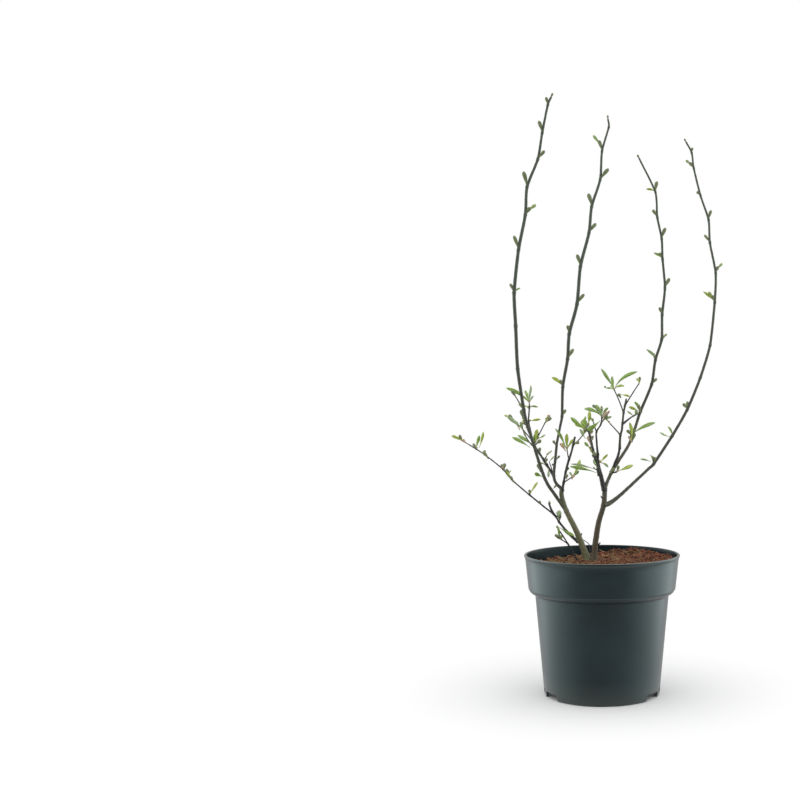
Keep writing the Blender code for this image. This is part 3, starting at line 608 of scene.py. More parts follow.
class ShrubWoodSettings(bpy.types.PropertyGroup):
    furrow: size_prop("Furrows", "Depth of the bark's furrows", 0.16 * MM)
    node_swelling: size_prop("Nodes", "How far a node stands out of its whip", 0.45 * MM)
    stem: colour_prop("Stem bark", "Bark of the left stem", "#6a6949")
    brown: colour_prop("Brown bark", "Bark of the right stem", "#4d402a")
    bough: colour_prop("Bough bark", "Bark of the boughs", "#3b3d2f")
    grey: colour_prop("Grey bark", "Weathered bark of the inner right bough", "#5b5747")
    pruned: colour_prop("Pruned bark", "Dark bark of the pruned branches", "#2b2a26")
    whip: colour_prop("Whip bark", "Young bark high on the whips", "#464e3e")
    pore: colour_prop("Pores", "The bark's pale breathing pores", "#8d8a70")


class ShrubLeafSettings(bpy.types.PropertyGroup):
    thickness: size_prop("Thickness", "Thickness of a leaf's blade", 0.30 * MM)
    fold: amount_prop(
        "Fold", "How far a blade folds up along its midrib", math.radians(22), subtype="ANGLE",
    )
    fresh: colour_prop("Fresh", "The youngest, yellowest leaves", "#a4b540")
    green: colour_prop("Green", "Leaves that have opened", "#7f9e3e")
    silver: colour_prop("Silver", "Leaves that turn their downy backs", "#9cb07c")
    bud: colour_prop("Buds", "Downy leaf buds", "#727d50")
    bursting: colour_prop("Bursting tips", "Leaf tips that break out of their buds", "#93a862")
    scale: colour_prop("Scales", "Papery scales at the foot of a shoot", "#bfa48c")


class ShrubStageSettings(bpy.types.PropertyGroup):
    lens: amount_prop("Lens", "Focal length", 54.0, unit="CAMERA")
    shift: amount_prop("Shift", "Sideways shift that frames the plant right of centre", -0.2525)
    floor: colour_prop("Floor", "Pale studio floor", "#f0f0f0")
    sky: amount_prop("Surround", "Strength of the white surround", 0.79)
    front: amount_prop("Front", "Share of the surround's light from the viewer's side", 0.10)
    below: amount_prop("Below", "Light thrown back from below", 1.1)
    aside: amount_prop("Aside", "Gloss from the surround's two sides", 0.45)
    key: amount_prop("Key", "Strength of the wide overhead light", 2.7)
    panel: amount_prop("Panels", "Power of each soft panel", 20.0)


# Shapes

def sighted(sideways, depth, height):
    """The real place of a point sighted on the axis plane, in metres."""
    spread = 1.0 + depth * MM / EYE_DISTANCE
    return Vector((
        sideways * MM * spread,
        depth * MM,
        EYE_HEIGHT + (height * MM - EYE_HEIGHT) * spread,
    ))


def line_points(line, depth):
    """The real points of a line whose depth runs evenly from foot to tip."""
    steps = [math.dist(a, b) for a, b in zip(line, line[1:])]
    total = sum(steps)
    gone = 0.0
    points = []
    for (sideways, height), step in zip(line, [0.0] + steps):
        gone += step
        share = gone / total
        points.append(sighted(sideways, depth[0] + (depth[1] - depth[0]) * share, height))
    return points


def smooth(points, parts):
    """A smooth curve through the points, with so many parts between two of them."""
    ends = [2 * points[0] - points[1], *points, 2 * points[-1] - points[-2]]
    curve = [points[0]]
    for a, b, c, d in zip(ends, ends[1:], ends[2:], ends[3:]):
        for part in range(1, parts + 1):
            t = part / parts
            curve.append(0.5 * (
                2 * b + (c - a) * t + (2 * a - 5 * b + 4 * c - d) * t ** 2
                + (3 * b - 3 * c + d - a) * t ** 3
            ))
    return curve


def bowed(a, b, c, share):
    """A point on the curve that leaves a towards b and ends at c."""
    return a * (1 - share) ** 2 + b * (2 * share * (1 - share)) + c * share ** 2


def even_steps(points, step):
    """The same line with its points a set distance apart, both ends kept."""
    lengths = [(b - a).length for a, b in zip(points, points[1:])]
    count = max(2, round(sum(lengths) / step))
    spacing = sum(lengths) / count
    out = [points[0]]
    along = 0.0
    span = 0
    for i in range(1, count):
        target = i * spacing
        while along + lengths[span] < target:
            along += lengths[span]
            span += 1
        out.append(points[span].lerp(points[span + 1], (target - along) / lengths[span]))
    out.append(points[-1])
    return out


def radii_along(points, thick):
    """Radii that taper evenly from the foot's thickness to the tip's."""
    last = len(points) - 1
    return [(thick[0] + (thick[1] - thick[0]) * i / last) * MM / 2 for i in range(last + 1)]


def flared(points, radii):
    """The radii with the root flare of a stem added at the ground."""
    return [
        radius * (1 + FLARE * math.exp(-(point.z - GROUND) / FLARE_HEIGHT))
        for point, radius in zip(points, radii)
    ]


# The seeded rule that the solids follow too

Leaf = namedtuple("Leaf", "root tip width flat toward")
Bud = namedtuple("Bud", "root tip width along on_whip")
Growth = namedtuple("Growth", "twigs leaves buds sprig_ends nodes")


class Room:
    """What has grown already, as round-ended rods that later pieces keep clear of."""

    def __init__(self):
        self.rods = []

    def add(self, owner, points, radii):
        for a, b, radius in zip(points, points[1:], radii):
            self.rods.append((owner, a, b, radius))

    def free(self, owners, root, tip, radius):
        """Whether a straight piece touches nothing but its own owners' rods."""
        for owner, a, b, other in self.rods:
            if owner in owners:
                continue
            if gap_between(root, tip, a, b) < radius + other + CLEAR:
                return False
        return True


def gap_between(a, b, c, d):
    """The least distance between two straight stretches, from points along each."""
    stations = 9
    least = math.inf
    along = d - c
    for i in range(stations):
        point = a.lerp(b, i / (stations - 1))
        share = max(0.0, min(1.0, (point - c).dot(along) / along.length_squared))
        least = min(least, (point - c - along * share).length)
    return least


def heading_vector(heading, depth_deg):
    """A direction that shows at this heading from the front, turned in depth."""
    turn = math.radians(heading)
    return Vector((math.cos(turn), math.tan(math.radians(depth_deg)), math.sin(turn)))


def sighted_height(point):
    """The height at which a real point is sighted on the axis plane."""
    return EYE_HEIGHT + (point.z - EYE_HEIGHT) / (1.0 + point.y / EYE_DISTANCE)


def point_at_height(points, height):
    """The place on a rising line that is sighted at this height, or else its tip."""
    for a, b in zip(points, points[1:]):
        low, high = sighted_height(a), sighted_height(b)
        if low <= height <= high and low < high:
            return a.lerp(b, (height - low) / (high - low))
    return points[-1].copy()


def whip_line(whip):
    """The whip's nodes as real points, with the depth easing off towards the tip."""
    pairs = [LIMBS[whip.bough].line[-1], *(node[:2] for node in whip.nodes), whip.tip]
    low, high = pairs[0][1], pairs[-1][1]
    points = []
    for sideways, height in pairs:
        ease = math.sin((height - low) / (high - low) * math.pi / 2)
        depth = whip.depth[0] + (whip.depth[1] - whip.depth[0]) * ease
        points.append(sighted(sideways, depth, height))
    return points


def side_blade(chance, point, along, size, splay_deg, radius):
    """Root and tip of a bud or leaf that stands off a whip to its left or right."""
    side = 1.0 if size > 0 else -1.0
    turn = math.radians(chance.uniform(-BUD_TURN_DEG, BUD_TURN_DEG))
    away = Vector((side * math.cos(turn), math.sin(turn), 0.0))
    away = (away - along * away.dot(along)).normalized()
    splay = math.radians(splay_deg)
    direction = along * math.cos(splay) + away * math.sin(splay)
    root = point - direction * radius * 0.5
    return root, point + direction * abs(size) * MM


def leaf_turns(chance, count):
    """Depth angles for so many leaves, spread in front and behind by turns."""
    side = chance.choice((-1, 1))
    turns = []
    for _ in range(count):
        turns.append(side * chance.uniform(*LEAF_DEPTH_SHARES) * LEAF_DEPTH_DEG)
        side = -side
    return turns


def grow_whip(name, room, growth):
    """Buds on alternate sides at each node of a whip, some with a leaf, and one at its tip."""
    whip = WHIPS[name]
    chance = random.Random(whip.seed)
    points = whip_line(whip)
    radii = radii_along(points, whip.thick)
    own = {name, whip.bough}
    for i, (_, _, bud, leaf) in enumerate(whip.nodes, start=1):
        along = (points[i + 1] - points[i - 1]).normalized()
        for is_bud, size, splay, share in (
            (True, bud, SIDE_BUD_SPLAY_DEG, BUD_WIDTH_SHARE),
            (False, leaf, SIDE_LEAF_SPLAY_DEG, LEAF_WIDTH_SHARE),
        ):
            if not size:
                continue
            root, tip = side_blade(chance, points[i], along, size, splay, radii[i])
            width = abs(size) * MM * share
            if not room.free(own, root, tip, width / 2):
                continue
            if is_bud:
                growth.buds.append(Bud(root, tip, width, along, True))
            else:
                growth.leaves.append(Leaf(root, tip, width, along.cross(Vector((0, 1, 0))), along))
    end = points[-1]
    along = (end - points[-2]).normalized()
    below, above, width = LAST_BUD
    growth.buds.append(Bud(end - along * below, end + along * above, width, along, True))
    growth.nodes[name] = points[1:-1]
    room.add(name, points, [radius + WHIP_ROOM for radius in radii])


def grow_mass(name, room, growth):
    """Sprigs on a spine, each ending in young leaves. A short leaf is still a bud."""
    mass = MASSES[name]
    chance = random.Random(mass.seed)
    spine = smooth(line_points(mass.spine, mass.depth), SPINE_PARTS)
    own = {name, *mass.parents}
    if name == "dry_stick":
        spine[0].z = GROUND
    grown = [(spine, radii_along(spine, mass.thick))]
    nodes = []

    def has_room(root, tip, radius):
        near = min((tip - point).length for point in spine) < mass.reach * MM
        return near and room.free(own, root, tip, radius)

    def set_leaf(root, tip, width, toward):
        if not has_room(root, tip, width / 2):
            return
        along = (tip - root).normalized()
        lean = Vector((0, chance.uniform(-LEAF_LEAN, LEAF_LEAN), 0))
        if (tip - root).length < STILL_A_BUD:
            growth.buds.append(Bud(root, tip, max(width, BUD_LEAST_WIDTH), toward, False))
        else:
            growth.leaves.append(Leaf(root, tip, width, Vector((0, 1, 0)).cross(along) + lean, toward))
        grown.append(([root, tip], [width / 2]))

    for height, heading, length, leaves in mass.sprigs:
        start = point_at_height(spine, height * MM)
        end = start
        toward = heading_vector(heading, 0.0)
        if length:
            depth = chance.uniform(-TWIG_DEPTH_DEG, TWIG_DEPTH_DEG)
            end = start + heading_vector(heading, depth) * length * MM
            if not has_room(start, end, TWIG_THICK / 2):
                continue
            toward = (end - start).normalized()
            growth.twigs.append((start, end))
            grown.append(([start, end], TWIG_RADII))
        growth.sprig_ends.append((end, toward))
        nodes.append(start)
        for (leaf_heading, size), depth in zip(leaves, leaf_turns(chance, len(leaves))):
            tip = end + heading_vector(leaf_heading, depth) * size * MM
            width = max(LEAF_WIDTHS[0], min(LEAF_WIDTHS[1], size * MM * LEAF_WIDTH_SHARE))
            set_leaf(end, tip, width, toward)
        if length > LONG_SPRIG:
            side = chance.choice((-1, 1))
            away = Vector((chance.uniform(-FILL_SPREAD, FILL_SPREAD), side, FILL_RISE)).normalized()
            set_leaf(end, end + away * FILL_LEAF, FILL_LEAF * LEAF_WIDTH_SHARE, toward)
    growth.nodes[name] = nodes
    for points, sizes in grown:
        room.add(name, points, sizes)


@lru_cache(maxsize=1)
def growth_plan():
    """All twigs, leaves and buds, grown once in the order that the solids were."""
    room = Room()
    growth = Growth([], [], [], [], {})
    for name, limb in LIMBS.items():
        points = smooth(line_points(limb.line, limb.depth), LIMB_PARTS)
        radii = radii_along(points, limb.thick)
        if name.startswith("stem"):
            points[0].z = GROUND
            radii = flared(points, radii)
        room.add(name, points, radii)
    for name in WHIPS:
        grow_whip(name, room, growth)
    for name in MASSES:
        grow_mass(name, room, growth)
    return growth


# Modelling

def fresh_start():
    """Object mode with nothing selected, so that an operator acts on the new piece alone."""
    if bpy.context.object and bpy.context.object.mode != "OBJECT":
        bpy.ops.object.mode_set(mode="OBJECT")
    bpy.ops.object.select_all(action="DESELECT")


def settled():
    """The piece just added, its place, turn and size applied."""
    bpy.ops.object.transform_apply(location=True, rotation=True, scale=True)
    return bpy.context.object


def turned(name, profile, sides):
    """A body turned about the Z axis: one ring, extruded and scaled from corner to corner."""
    fresh_start()
    radius, height = profile[0]
    bpy.ops.mesh.primitive_circle_add(vertices=sides, radius=radius, location=(0, 0, height))
    piece = settled()
    piece.name = name
    bpy.ops.object.mode_set(mode="EDIT")
    bpy.ops.mesh.select_all(action="SELECT")
    for (before, low), (after, high) in zip(profile, profile[1:]):
        bpy.ops.mesh.extrude_region_move(TRANSFORM_OT_translate={"value": (0, 0, high - low)})
        grow = after / before
        bpy.ops.transform.resize(value=(grow, grow, 1), center_override=(0, 0, high))
    bpy.ops.mesh.select_all(action="SELECT")
    bpy.ops.mesh.fill_holes(sides=0)
    bpy.ops.mesh.select_all(action="SELECT")
    bpy.ops.mesh.normals_make_consistent(inside=False)
    bpy.ops.object.mode_set(mode="OBJECT")
    return piece


def swept(name, points, radii, bevel_steps):
    """A round closed bar along a line, from a path with a bevel made into a mesh."""
    fresh_start()
    bpy.ops.curve.primitive_nurbs_path_add()
    line = bpy.context.object.data
    line.splines.clear()
    spline = line.splines.new("POLY")
    spline.points.add(len(points) - 1)
    thickest = max(radii)
    for knot, point, radius in zip(spline.points, points, radii):
        knot.co = (*point, 1.0)
        knot.radius = radius / thickest
    line.bevel_depth = thickest
    line.bevel_resolution = bevel_steps
    line.use_fill_caps = True
    bpy.ops.object.convert(target="MESH")
    piece = bpy.context.object
    bpy.ops.object.mode_set(mode="EDIT")
    bpy.ops.mesh.select_all(action="SELECT")
    bpy.ops.mesh.remove_doubles(threshold=MERGE_WITHIN)
    bpy.ops.mesh.normals_make_consistent(inside=False)
    bpy.ops.object.mode_set(mode="OBJECT")
    piece.name = name
    return piece


def bark_relief(piece, line, furrow, rings, ring_size):
    """Gives a bar the relief of bark: furrows along it, low lumps, and a ring at each node."""
    near = kdtree.KDTree(len(line))
    for i, point in enumerate(line):
        near.insert(point, i)
    near.balance()
    for vertex in piece.data.vertices:
        point, _, distance = near.find(vertex.co)
        if distance < ON_THE_LINE:
            continue
        spot = vertex.co
        push = furrow * noise.noise(Vector((spot.x / MM, spot.y / MM, spot.z / FURROW_LENGTH)))
        push += LUMP_SHARE * furrow * noise.noise(spot / LUMP_SIZE + Vector((5, 3, 1)))
        for ring in rings:
            away = (point - ring).length / NODE_RING
            if away < 3:
                push += ring_size * math.exp(-away * away)
        vertex.co = spot + (spot - point) / distance * push


def bar_of_wood(name, line, sizes, kind, settings, rings):
    """A bar with its bark's relief, as strong as its kind of wood has it."""
    bevel_steps, furrows, swelling = BARK_RELIEF[kind]
    piece = swept(name, line, sizes, bevel_steps)
    bark_relief(piece, line, settings.furrow * furrows, rings, settings.node_swelling * swelling)
    piece.data.shade_smooth()
    return piece


def rounded(corners):
    """A profile's corners, each (radius, height, rounding), with arcs in place of sharp ones."""
    out = [corners[0][:2]]
    for before, corner, after in zip(corners, corners[1:], corners[2:]):
        here = Vector(corner[:2])
        back, on = Vector(before[:2]) - here, Vector(after[:2]) - here
        reach = min(corner[2], ARC_REACH * back.length, ARC_REACH * on.length)
        start, end = here + back.normalized() * reach, here + on.normalized() * reach
        out.extend(tuple(bowed(start, here, end, i / ARC_STEPS)) for i in range(ARC_STEPS + 1))
    out.append(corners[-1][:2])
    return out


class Heap:
    """Many small closed shapes gathered from arrays into one mesh."""

    def __init__(self):
        self.corners = []
        self.faces = []

    def add(self, corners, faces):
        base = len(self.corners)
        self.corners.extend(corners)
        self.faces.extend([base + i for i in face] for face in faces)

    def add_rings(self, rings, tip=None):
        """Rings of like count skinned in order, capped at the foot, and at the tip or by a cap."""
        count = len(rings[0])
        corners = [corner for ring in rings for corner in ring]
        faces = [list(reversed(range(count)))]
        for ring in range(len(rings) - 1):
            low, high = ring * count, (ring + 1) * count
            for side in range(count):
                after = (side + 1) % count
                faces.append([low + side, low + after, high + after, high + side])
        top = (len(rings) - 1) * count
        if tip is None:
            faces.append([top + side for side in range(count)])
        else:
            corners.append(tip)
            for side in range(count):
                faces.append([top + side, top + (side + 1) % count, len(corners) - 1])
        self.add(corners, faces)

    def piece(self, name):
        mesh = bpy.data.meshes.new(name)
        mesh.from_pydata(self.corners, [], self.faces)
        mesh.update()
        mesh.shade_smooth()
        piece = bpy.data.objects.new(name, mesh)
        bpy.context.scene.collection.objects.link(piece)
        return piece


def round_rings(points, radii, sides):
    """Rings round a line, each square to it."""
    across = None
    rings = []
    for i, (point, radius) in enumerate(zip(points, radii)):
        along = (points[min(i + 1, len(points) - 1)] - points[max(i - 1, 0)]).normalized()
        across = across or along.orthogonal()
        across = (across - along * across.dot(along)).normalized()
        up = along.cross(across)
        turns = (2 * math.pi * side / sides for side in range(sides))
        rings.append([point + radius * (math.cos(t) * across + math.sin(t) * up) for t in turns])
    return rings


def add_leaf(heap, leaf, settings, chance):
    """A closed blade: stalked, folded up along its midrib, and bowed from its shoot to its point."""
    length = (leaf.tip - leaf.root).length
    straight = (leaf.tip - leaf.root).normalized()
    shoot, own = LEAF_LEAD
    lead = (leaf.toward.normalized() * shoot + straight * own).normalized()
    control = leaf.root + lead * length * 0.5
    control += leaf.flat.cross(straight).normalized() * length * chance.uniform(*LEAF_ARCH)
    twist = chance.uniform(-LEAF_TWIST, LEAF_TWIST)
    wave = chance.uniform(0, 6)
    half_thick = settings.thickness / 2
    rings = []
    for share, half in LEAF_OUTLINE[:-1]:
        point = bowed(leaf.root, control, leaf.tip, share)
        ahead = bowed(leaf.root, control, leaf.tip, min(1.0, share + 0.02))
        along = (ahead - point).normalized()
        across = (leaf.flat - along * leaf.flat.dot(along)).normalized()
        across = Matrix.Rotation(twist * share, 3, along) @ across
        up = along.cross(across)
        reach = max(half * leaf.width / 2, STALK_HALF_WIDTH)
        blade = min(1.0, max(0.0, (share - BLADE_START) / BLADE_OPENING))
        lift = reach * math.tan(settings.fold) * blade
        ripple = EDGE_WAVE * reach * blade
        thick = half_thick + (STALK_HALF_THICK - half_thick) * (1 - blade)
        rib, groove = thick * (1.0 + RIB * blade), thick * (1.0 - GROOVE * blade)
        edges = []
        for side, turn in ((-1, wave + 9 * share), (1, wave + 2 + 8 * share)):
            edge_lift = lift + ripple * math.sin(turn)
            half_lift = edge_lift * BLADE_HALF_LIFT
            middle = point + across * reach * 0.5 * side
            edges.append((
                point + across * reach * side + up * edge_lift,
                middle - up * (thick - half_lift),
                middle + up * (thick + half_lift),
            ))
        (left, left_under, left_over), (right, right_under, right_over) = edges
        rings.append([
            left, left_under, point - up * rib, right_under,
            right, right_over, point + up * groove, left_over,
        ])
    heap.add_rings(rings, leaf.tip)


def add_bud(heap, root, tip, width, along, sides=BUD_SIDES):
    """A slender club that leaves along its shoot and turns out at the tip."""
    reach = tip - root
    bow = (along.normalized() - reach.normalized()) * reach.length * BUD_BOW
    control = root + reach * 0.5 + bow
    points = [bowed(root, control, tip, share) for share, _ in BUD_OUTLINE[:-1]]
    heap.add_rings(round_rings(points, [half * width / 2 for _, half in BUD_OUTLINE[:-1]], sides), tip)


def stray(chance, lowest, highest=1):
    """A random direction, with its rise between two bounds."""
    return Vector((chance.uniform(-1, 1), chance.uniform(-1, 1), chance.uniform(lowest, highest)))


# Materials

def fit(node, settings, links):
    """Sets a node up and links its inputs, each from an output or a node's first open output."""
    for name, value in settings.items():
        if name == "stops":
            stops = node.color_ramp.elements
            while len(stops) < len(value):
                stops.new(0.5)
            for stop, (position, colour) in zip(stops, value):
                stop.position = position
                stop.color = (*colour, 1.0)
        elif isinstance(name, int) or name in node.inputs:
            node.inputs[name].default_value = value
        else:
            setattr(node, name, value)
    for name, source in links.items():
        if isinstance(source, bpy.types.Node):
            source = next(output for output in source.outputs if output.enabled)
        node.id_data.links.new(source, node.inputs[name])
    return node


def add_node(tree, kind, settings=None, links=None):
    """A new node with its settings and links."""
    return fit(tree.nodes.new(kind), settings or {}, links or {})


def new_material(name):
    """An empty material with its shader and the object's own coordinates."""
    material = bpy.data.materials.new(name)
    material.use_nodes = True
    tree = material.node_tree
    place = add_node(tree, "ShaderNodeTexCoord").outputs["Object"]
    return material, tree, tree.nodes["Principled BSDF"], place


def shade(colour, factor):
    return tuple(min(1.0, channel * factor) for channel in colour[:3])


def mottled(colour, darker, lighter):
    """The stops of a ramp that runs from darker to lighter than a colour."""
    return {"stops": ((0.3, shade(colour, darker)), (0.7, shade(colour, lighter)))}


def per(size_mm):
    """A texture scale whose features are this many millimetres across."""
    return 1000.0 / size_mm


def moulded_polypropylene(settings):
    """Recycled polypropylene, injection moulded: satin, dark grey-green, with a faint mottle.

    To the eye it is a deep, even tone with a soft gloss, paler and dusty low down on
    its foot. Along the top of its lip the same pale colour is a painted highlight.
    The inside shines less than the outside: painted shade deep in the pot's mouth.
    """
    material, tree, shader, place = new_material("moulded_polypropylene")
    cloud = add_node(tree, "ShaderNodeTexNoise", {"Scale": per(45), "Detail": 3.0}, {"Vector": place})
    grain = add_node(tree, "ShaderNodeTexNoise", {"Scale": per(0.9), "Detail": 2.0}, {"Vector": place})
    tone = add_node(tree, "ShaderNodeValToRGB", mottled(settings.plastic, 0.86, 1.12), {"Fac": cloud})
    height = add_node(tree, "ShaderNodeSeparateXYZ", links={"Vector": place}).outputs["Z"]
    normal = add_node(tree, "ShaderNodeNewGeometry").outputs["Normal"]
    around = add_node(
        tree, "ShaderNodeVectorMath", {"operation": "MULTIPLY", 1: (1.0, 1.0, 0.0)}, {0: place},
    )
    outward = add_node(
        tree, "ShaderNodeVectorMath", {"operation": "DOT_PRODUCT"}, {0: normal, 1: around},
    )
    low = add_node(
        tree, "ShaderNodeMapRange",
        {"From Min": 0.0, "From Max": 0.03, "To Min": 0.12, "To Max": 0.0}, {"Value": height},
    )
    # A painted highlight: the top of the lip is paled towards the pale colour, as light from above
    # would pale it
    lip = add_node(
        tree, "ShaderNodeMapRange",
        {"From Min": POT_HEIGHT - 0.5 * MM, "From Max": POT_HEIGHT, "To Min": 0.0, "To Max": 0.55},
        {"Value": height},
    )
    dust_and_highlight_share = add_node(tree, "ShaderNodeMath", {"operation": "MAXIMUM"}, {0: low, 1: lip})
    dusted_and_highlighted = add_node(
        tree, "ShaderNodeMix", {"data_type": "RGBA", 7: (*settings.dust_and_highlight_colour, 1.0)}, {0: dust_and_highlight_share, 6: tone},
    )
    # Painted shade: the inner wall gets less gloss than the outer, so the inside of the pot reads
    # darker
    gloss_with_painted_inner_shade = add_node(
        tree, "ShaderNodeMapRange",
        {"From Min": -0.02, "From Max": 0.0, "To Min": 0.17, "To Max": 0.5}, {"Value": outward},
    )
    dull = add_node(
        tree, "ShaderNodeMapRange",
        {"To Min": settings.roughness - 0.05, "To Max": settings.roughness + 0.09}, {"Value": cloud},
    )
    bump = add_node(
        tree, "ShaderNodeBump", {"Strength": 0.10, "Distance": 0.05 * MM}, {"Height": grain},
    )
    fit(
        shader, {"IOR": 1.49, "Specular Tint": (0.84, 1.0, 0.97, 1.0)},
        {"Base Color": dusted_and_highlighted, "Roughness": dull, "Specular IOR Level": gloss_with_painted_inner_shade, "Normal": bump},
    )
    return material


def coir(name, dark, light, grain_mm):
    """Coir and peat: dry, matt and crumbly, red-brown. Its colour runs with its bump's
    relief, so the gaps between the fibres are darkened as painted shade and the tops
    paled as painted light.
    """
    material, tree, shader, place = new_material(name)
    lumps = add_node(
        tree, "ShaderNodeTexNoise", {"Scale": per(grain_mm), "Detail": 6.0, "Roughness": 0.7},
        {"Vector": place},
    )
    # Painted shade and light: the noise that lifts the bump also sets the colour, darkest in its
    # hollows and palest on its tops
    tone = add_node(
        tree, "ShaderNodeValToRGB", {"stops": ((0.36, dark), (0.64, light))}, {"Fac": lumps},
    )
    bump = add_node(
        tree, "ShaderNodeBump", {"Strength": 0.8, "Distance": 0.5 * MM}, {"Height": lumps},
    )
    fit(shader, {"Roughness": 0.95, "Specular IOR Level": 0.2}, {"Base Color": tone, "Normal": bump})
    return material


def young_bark(name, settings):
    """Thin young bark: smooth, with fine streaks along it and small pale breathing pores.

    Its colour passes from one tone to another as the wood gets younger with height.
    """
    lower, upper, low, high = BARKS[name]
    material, tree, shader, place = new_material(name)
    height = add_node(tree, "ShaderNodeSeparateXYZ", links={"Vector": place}).outputs["Z"]
    age = add_node(
        tree, "ShaderNodeMapRange", {"From Min": low * MM, "From Max": high * MM}, {"Value": height},
    )
    tones = {6: (*getattr(settings, lower), 1.0), 7: (*getattr(settings, upper), 1.0)}
    aged = add_node(tree, "ShaderNodeMix", {"data_type": "RGBA", **tones}, {0: age})
    drawn_out = add_node(tree, "ShaderNodeMapping", {"Scale": (1.0, 1.0, 0.16)}, {"Vector": place})
    streaks = add_node(
        tree, "ShaderNodeTexNoise", {"Scale": per(1.1), "Detail": 5.0, "Roughness": 0.65},
        {"Vector": drawn_out},
    )
    light = add_node(tree, "ShaderNodeMapRange", {"To Min": 0.6, "To Max": 1.4}, {"Value": streaks})
    streaked = add_node(
        tree, "ShaderNodeVectorMath", {"operation": "SCALE"}, {0: aged, "Scale": light},
    )
    pores = add_node(tree, "ShaderNodeTexVoronoi", {"Scale": per(2.6)}, {"Vector": place})
    pore = add_node(
        tree, "ShaderNodeMapRange",
        {"From Min": 0.10, "From Max": 0.17, "To Min": 0.2, "To Max": 0.0}, {"Value": pores},
    )
    spotted = add_node(
        tree, "ShaderNodeMix", {"data_type": "RGBA", 7: (*settings.pore, 1.0)}, {0: pore, 6: streaked},
    )
    relief = add_node(tree, "ShaderNodeMath", {"operation": "ADD"}, {0: streaks, 1: pore})
    bump = add_node(
        tree, "ShaderNodeBump", {"Strength": 0.55, "Distance": 0.12 * MM}, {"Height": relief},
    )
    fit(shader, {"Roughness": 0.62}, {"Base Color": spotted, "Normal": bump})
    return material


def leaf_skin(name, colour, roughness=0.46, down=0.0):
    """Soft new leaf: waxy green that lets a little light through, with uneven colour.

    A downy one is duller, with a pale bloom at its edges.
    """
    material, tree, shader, place = new_material(name)
    patches = add_node(
        tree, "ShaderNodeTexNoise", {"Scale": per(9.0), "Detail": 3.0, "Roughness": 0.5},
        {"Vector": place},
    )
    tone = add_node(tree, "ShaderNodeValToRGB", mottled(colour, 0.84, 1.12), {"Fac": patches})
    veins = add_node(tree, "ShaderNodeTexNoise", {"Scale": per(0.7), "Detail": 3.0}, {"Vector": place})
    bump = add_node(
        tree, "ShaderNodeBump", {"Strength": 0.12, "Distance": 0.10 * MM}, {"Height": veins},
    )
    translucence = {
        "Subsurface Weight": 0.12, "Subsurface Radius": (0.6 * MM, 1.0 * MM, 0.3 * MM),
        "Subsurface Scale": 1.0,
    }
    fit(
        shader, {"Roughness": roughness, "Sheen Weight": down, **translucence},
        {"Base Color": tone, "Normal": bump},
    )
    return material


def matt_paint(name, colour):
    """Painted studio floor: matt and plain, so that only the soft shadow shows on it."""
    material, tree, shader, place = new_material(name)
    cloud = add_node(tree, "ShaderNodeTexNoise", {"Scale": per(400)}, {"Vector": place})
    tone = add_node(tree, "ShaderNodeValToRGB", mottled(colour, 0.995, 1.0), {"Fac": cloud})
    fit(shader, {"Roughness": 1.0, "Specular IOR Level": 0.0}, {"Base Color": tone})
    return material


def hand_over(piece, material, slot, *nodes):
    """Dresses a finished piece, ties it to the plant's one body, and hides the parts that it stands
    for.
    """
    piece.data.materials.clear()
    piece.data.materials.append(material)
    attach(piece, BODY)
    if nodes:
        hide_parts(*nodes)


# Pieces

def pot_corners(wall):
    """From the floor's middle up the inside, over the lip, and down to the underside's middle."""
    step = CHANNEL_INNER_RADIUS - 2.0 * MM
    small, soft = 0.3 * MM, 1.6 * MM
    return [
        (MIDDLE_RADIUS, wall, 0),
        (step - wall, wall, soft),
        (CHANNEL_INNER_RADIUS - wall, CHANNEL_HEIGHT + wall, soft),
        (BASE_RADIUS - wall + 1.0 * MM, CHANNEL_HEIGHT + wall, soft),
        (BODY_TOP_RADIUS - wall, BODY_TOP_HEIGHT, small),
        (BODY_TOP_RADIUS - 0.8 * MM, BODY_TOP_HEIGHT + 3.2 * MM, soft),
        (COLLAR_FOOT_RADIUS - wall - 2.0 * MM, COLLAR_FOOT_HEIGHT, soft),
        (COLLAR_FOOT_RADIUS - wall, COLLAR_FOOT_HEIGHT + 1.8 * MM, soft),
        (COLLAR_TOP_RADIUS - wall, POT_HEIGHT - 3.0 * MM, soft),
        (COLLAR_TOP_RADIUS - wall + 0.4 * MM, POT_HEIGHT - 0.5 * MM, small),
        (COLLAR_TOP_RADIUS - 0.6 * MM, POT_HEIGHT, small),
        (RIM_RADIUS - 0.4 * MM, POT_HEIGHT, small),
        (RIM_RADIUS, POT_HEIGHT - 0.5 * MM, small),
        (RIM_RADIUS - 0.1 * MM, POT_HEIGHT - 1.8 * MM, small),
        (COLLAR_TOP_RADIUS + 0.9 * MM, POT_HEIGHT - 3.9 * MM, soft),
        (COLLAR_TOP_RADIUS + 0.1 * MM, POT_HEIGHT - 8.5 * MM, soft),
        (COLLAR_FOOT_RADIUS, COLLAR_FOOT_HEIGHT + 0.3 * MM, 1.1 * MM),
        (COLLAR_FOOT_RADIUS - 2.4 * MM, COLLAR_FOOT_HEIGHT - 3.5 * MM, soft),
        (COLLAR_FOOT_RADIUS - 5.9 * MM, COLLAR_FOOT_HEIGHT - 5.3 * MM, soft),
        (BODY_TOP_RADIUS + 0.1 * MM, BODY_TOP_HEIGHT - 1.3 * MM, 0.05 * MM),
        (BASE_RADIUS + 1.0 * MM, CHANNEL_HEIGHT + 1.0 * MM, soft),
        (BASE_RADIUS, 0.8 * MM, small),
        (BASE_RADIUS - 0.6 * MM, 0.0, small),
        (BASE_RADIUS - 2.0 * MM, 0.0, small),
        (BASE_RADIUS - 1.8 * MM, CHANNEL_HEIGHT, small),
        (CHANNEL_INNER_RADIUS, CHANNEL_HEIGHT, soft),
        (step, 0.0, soft),
        (MIDDLE_RADIUS, 0.0, 0),
    ]


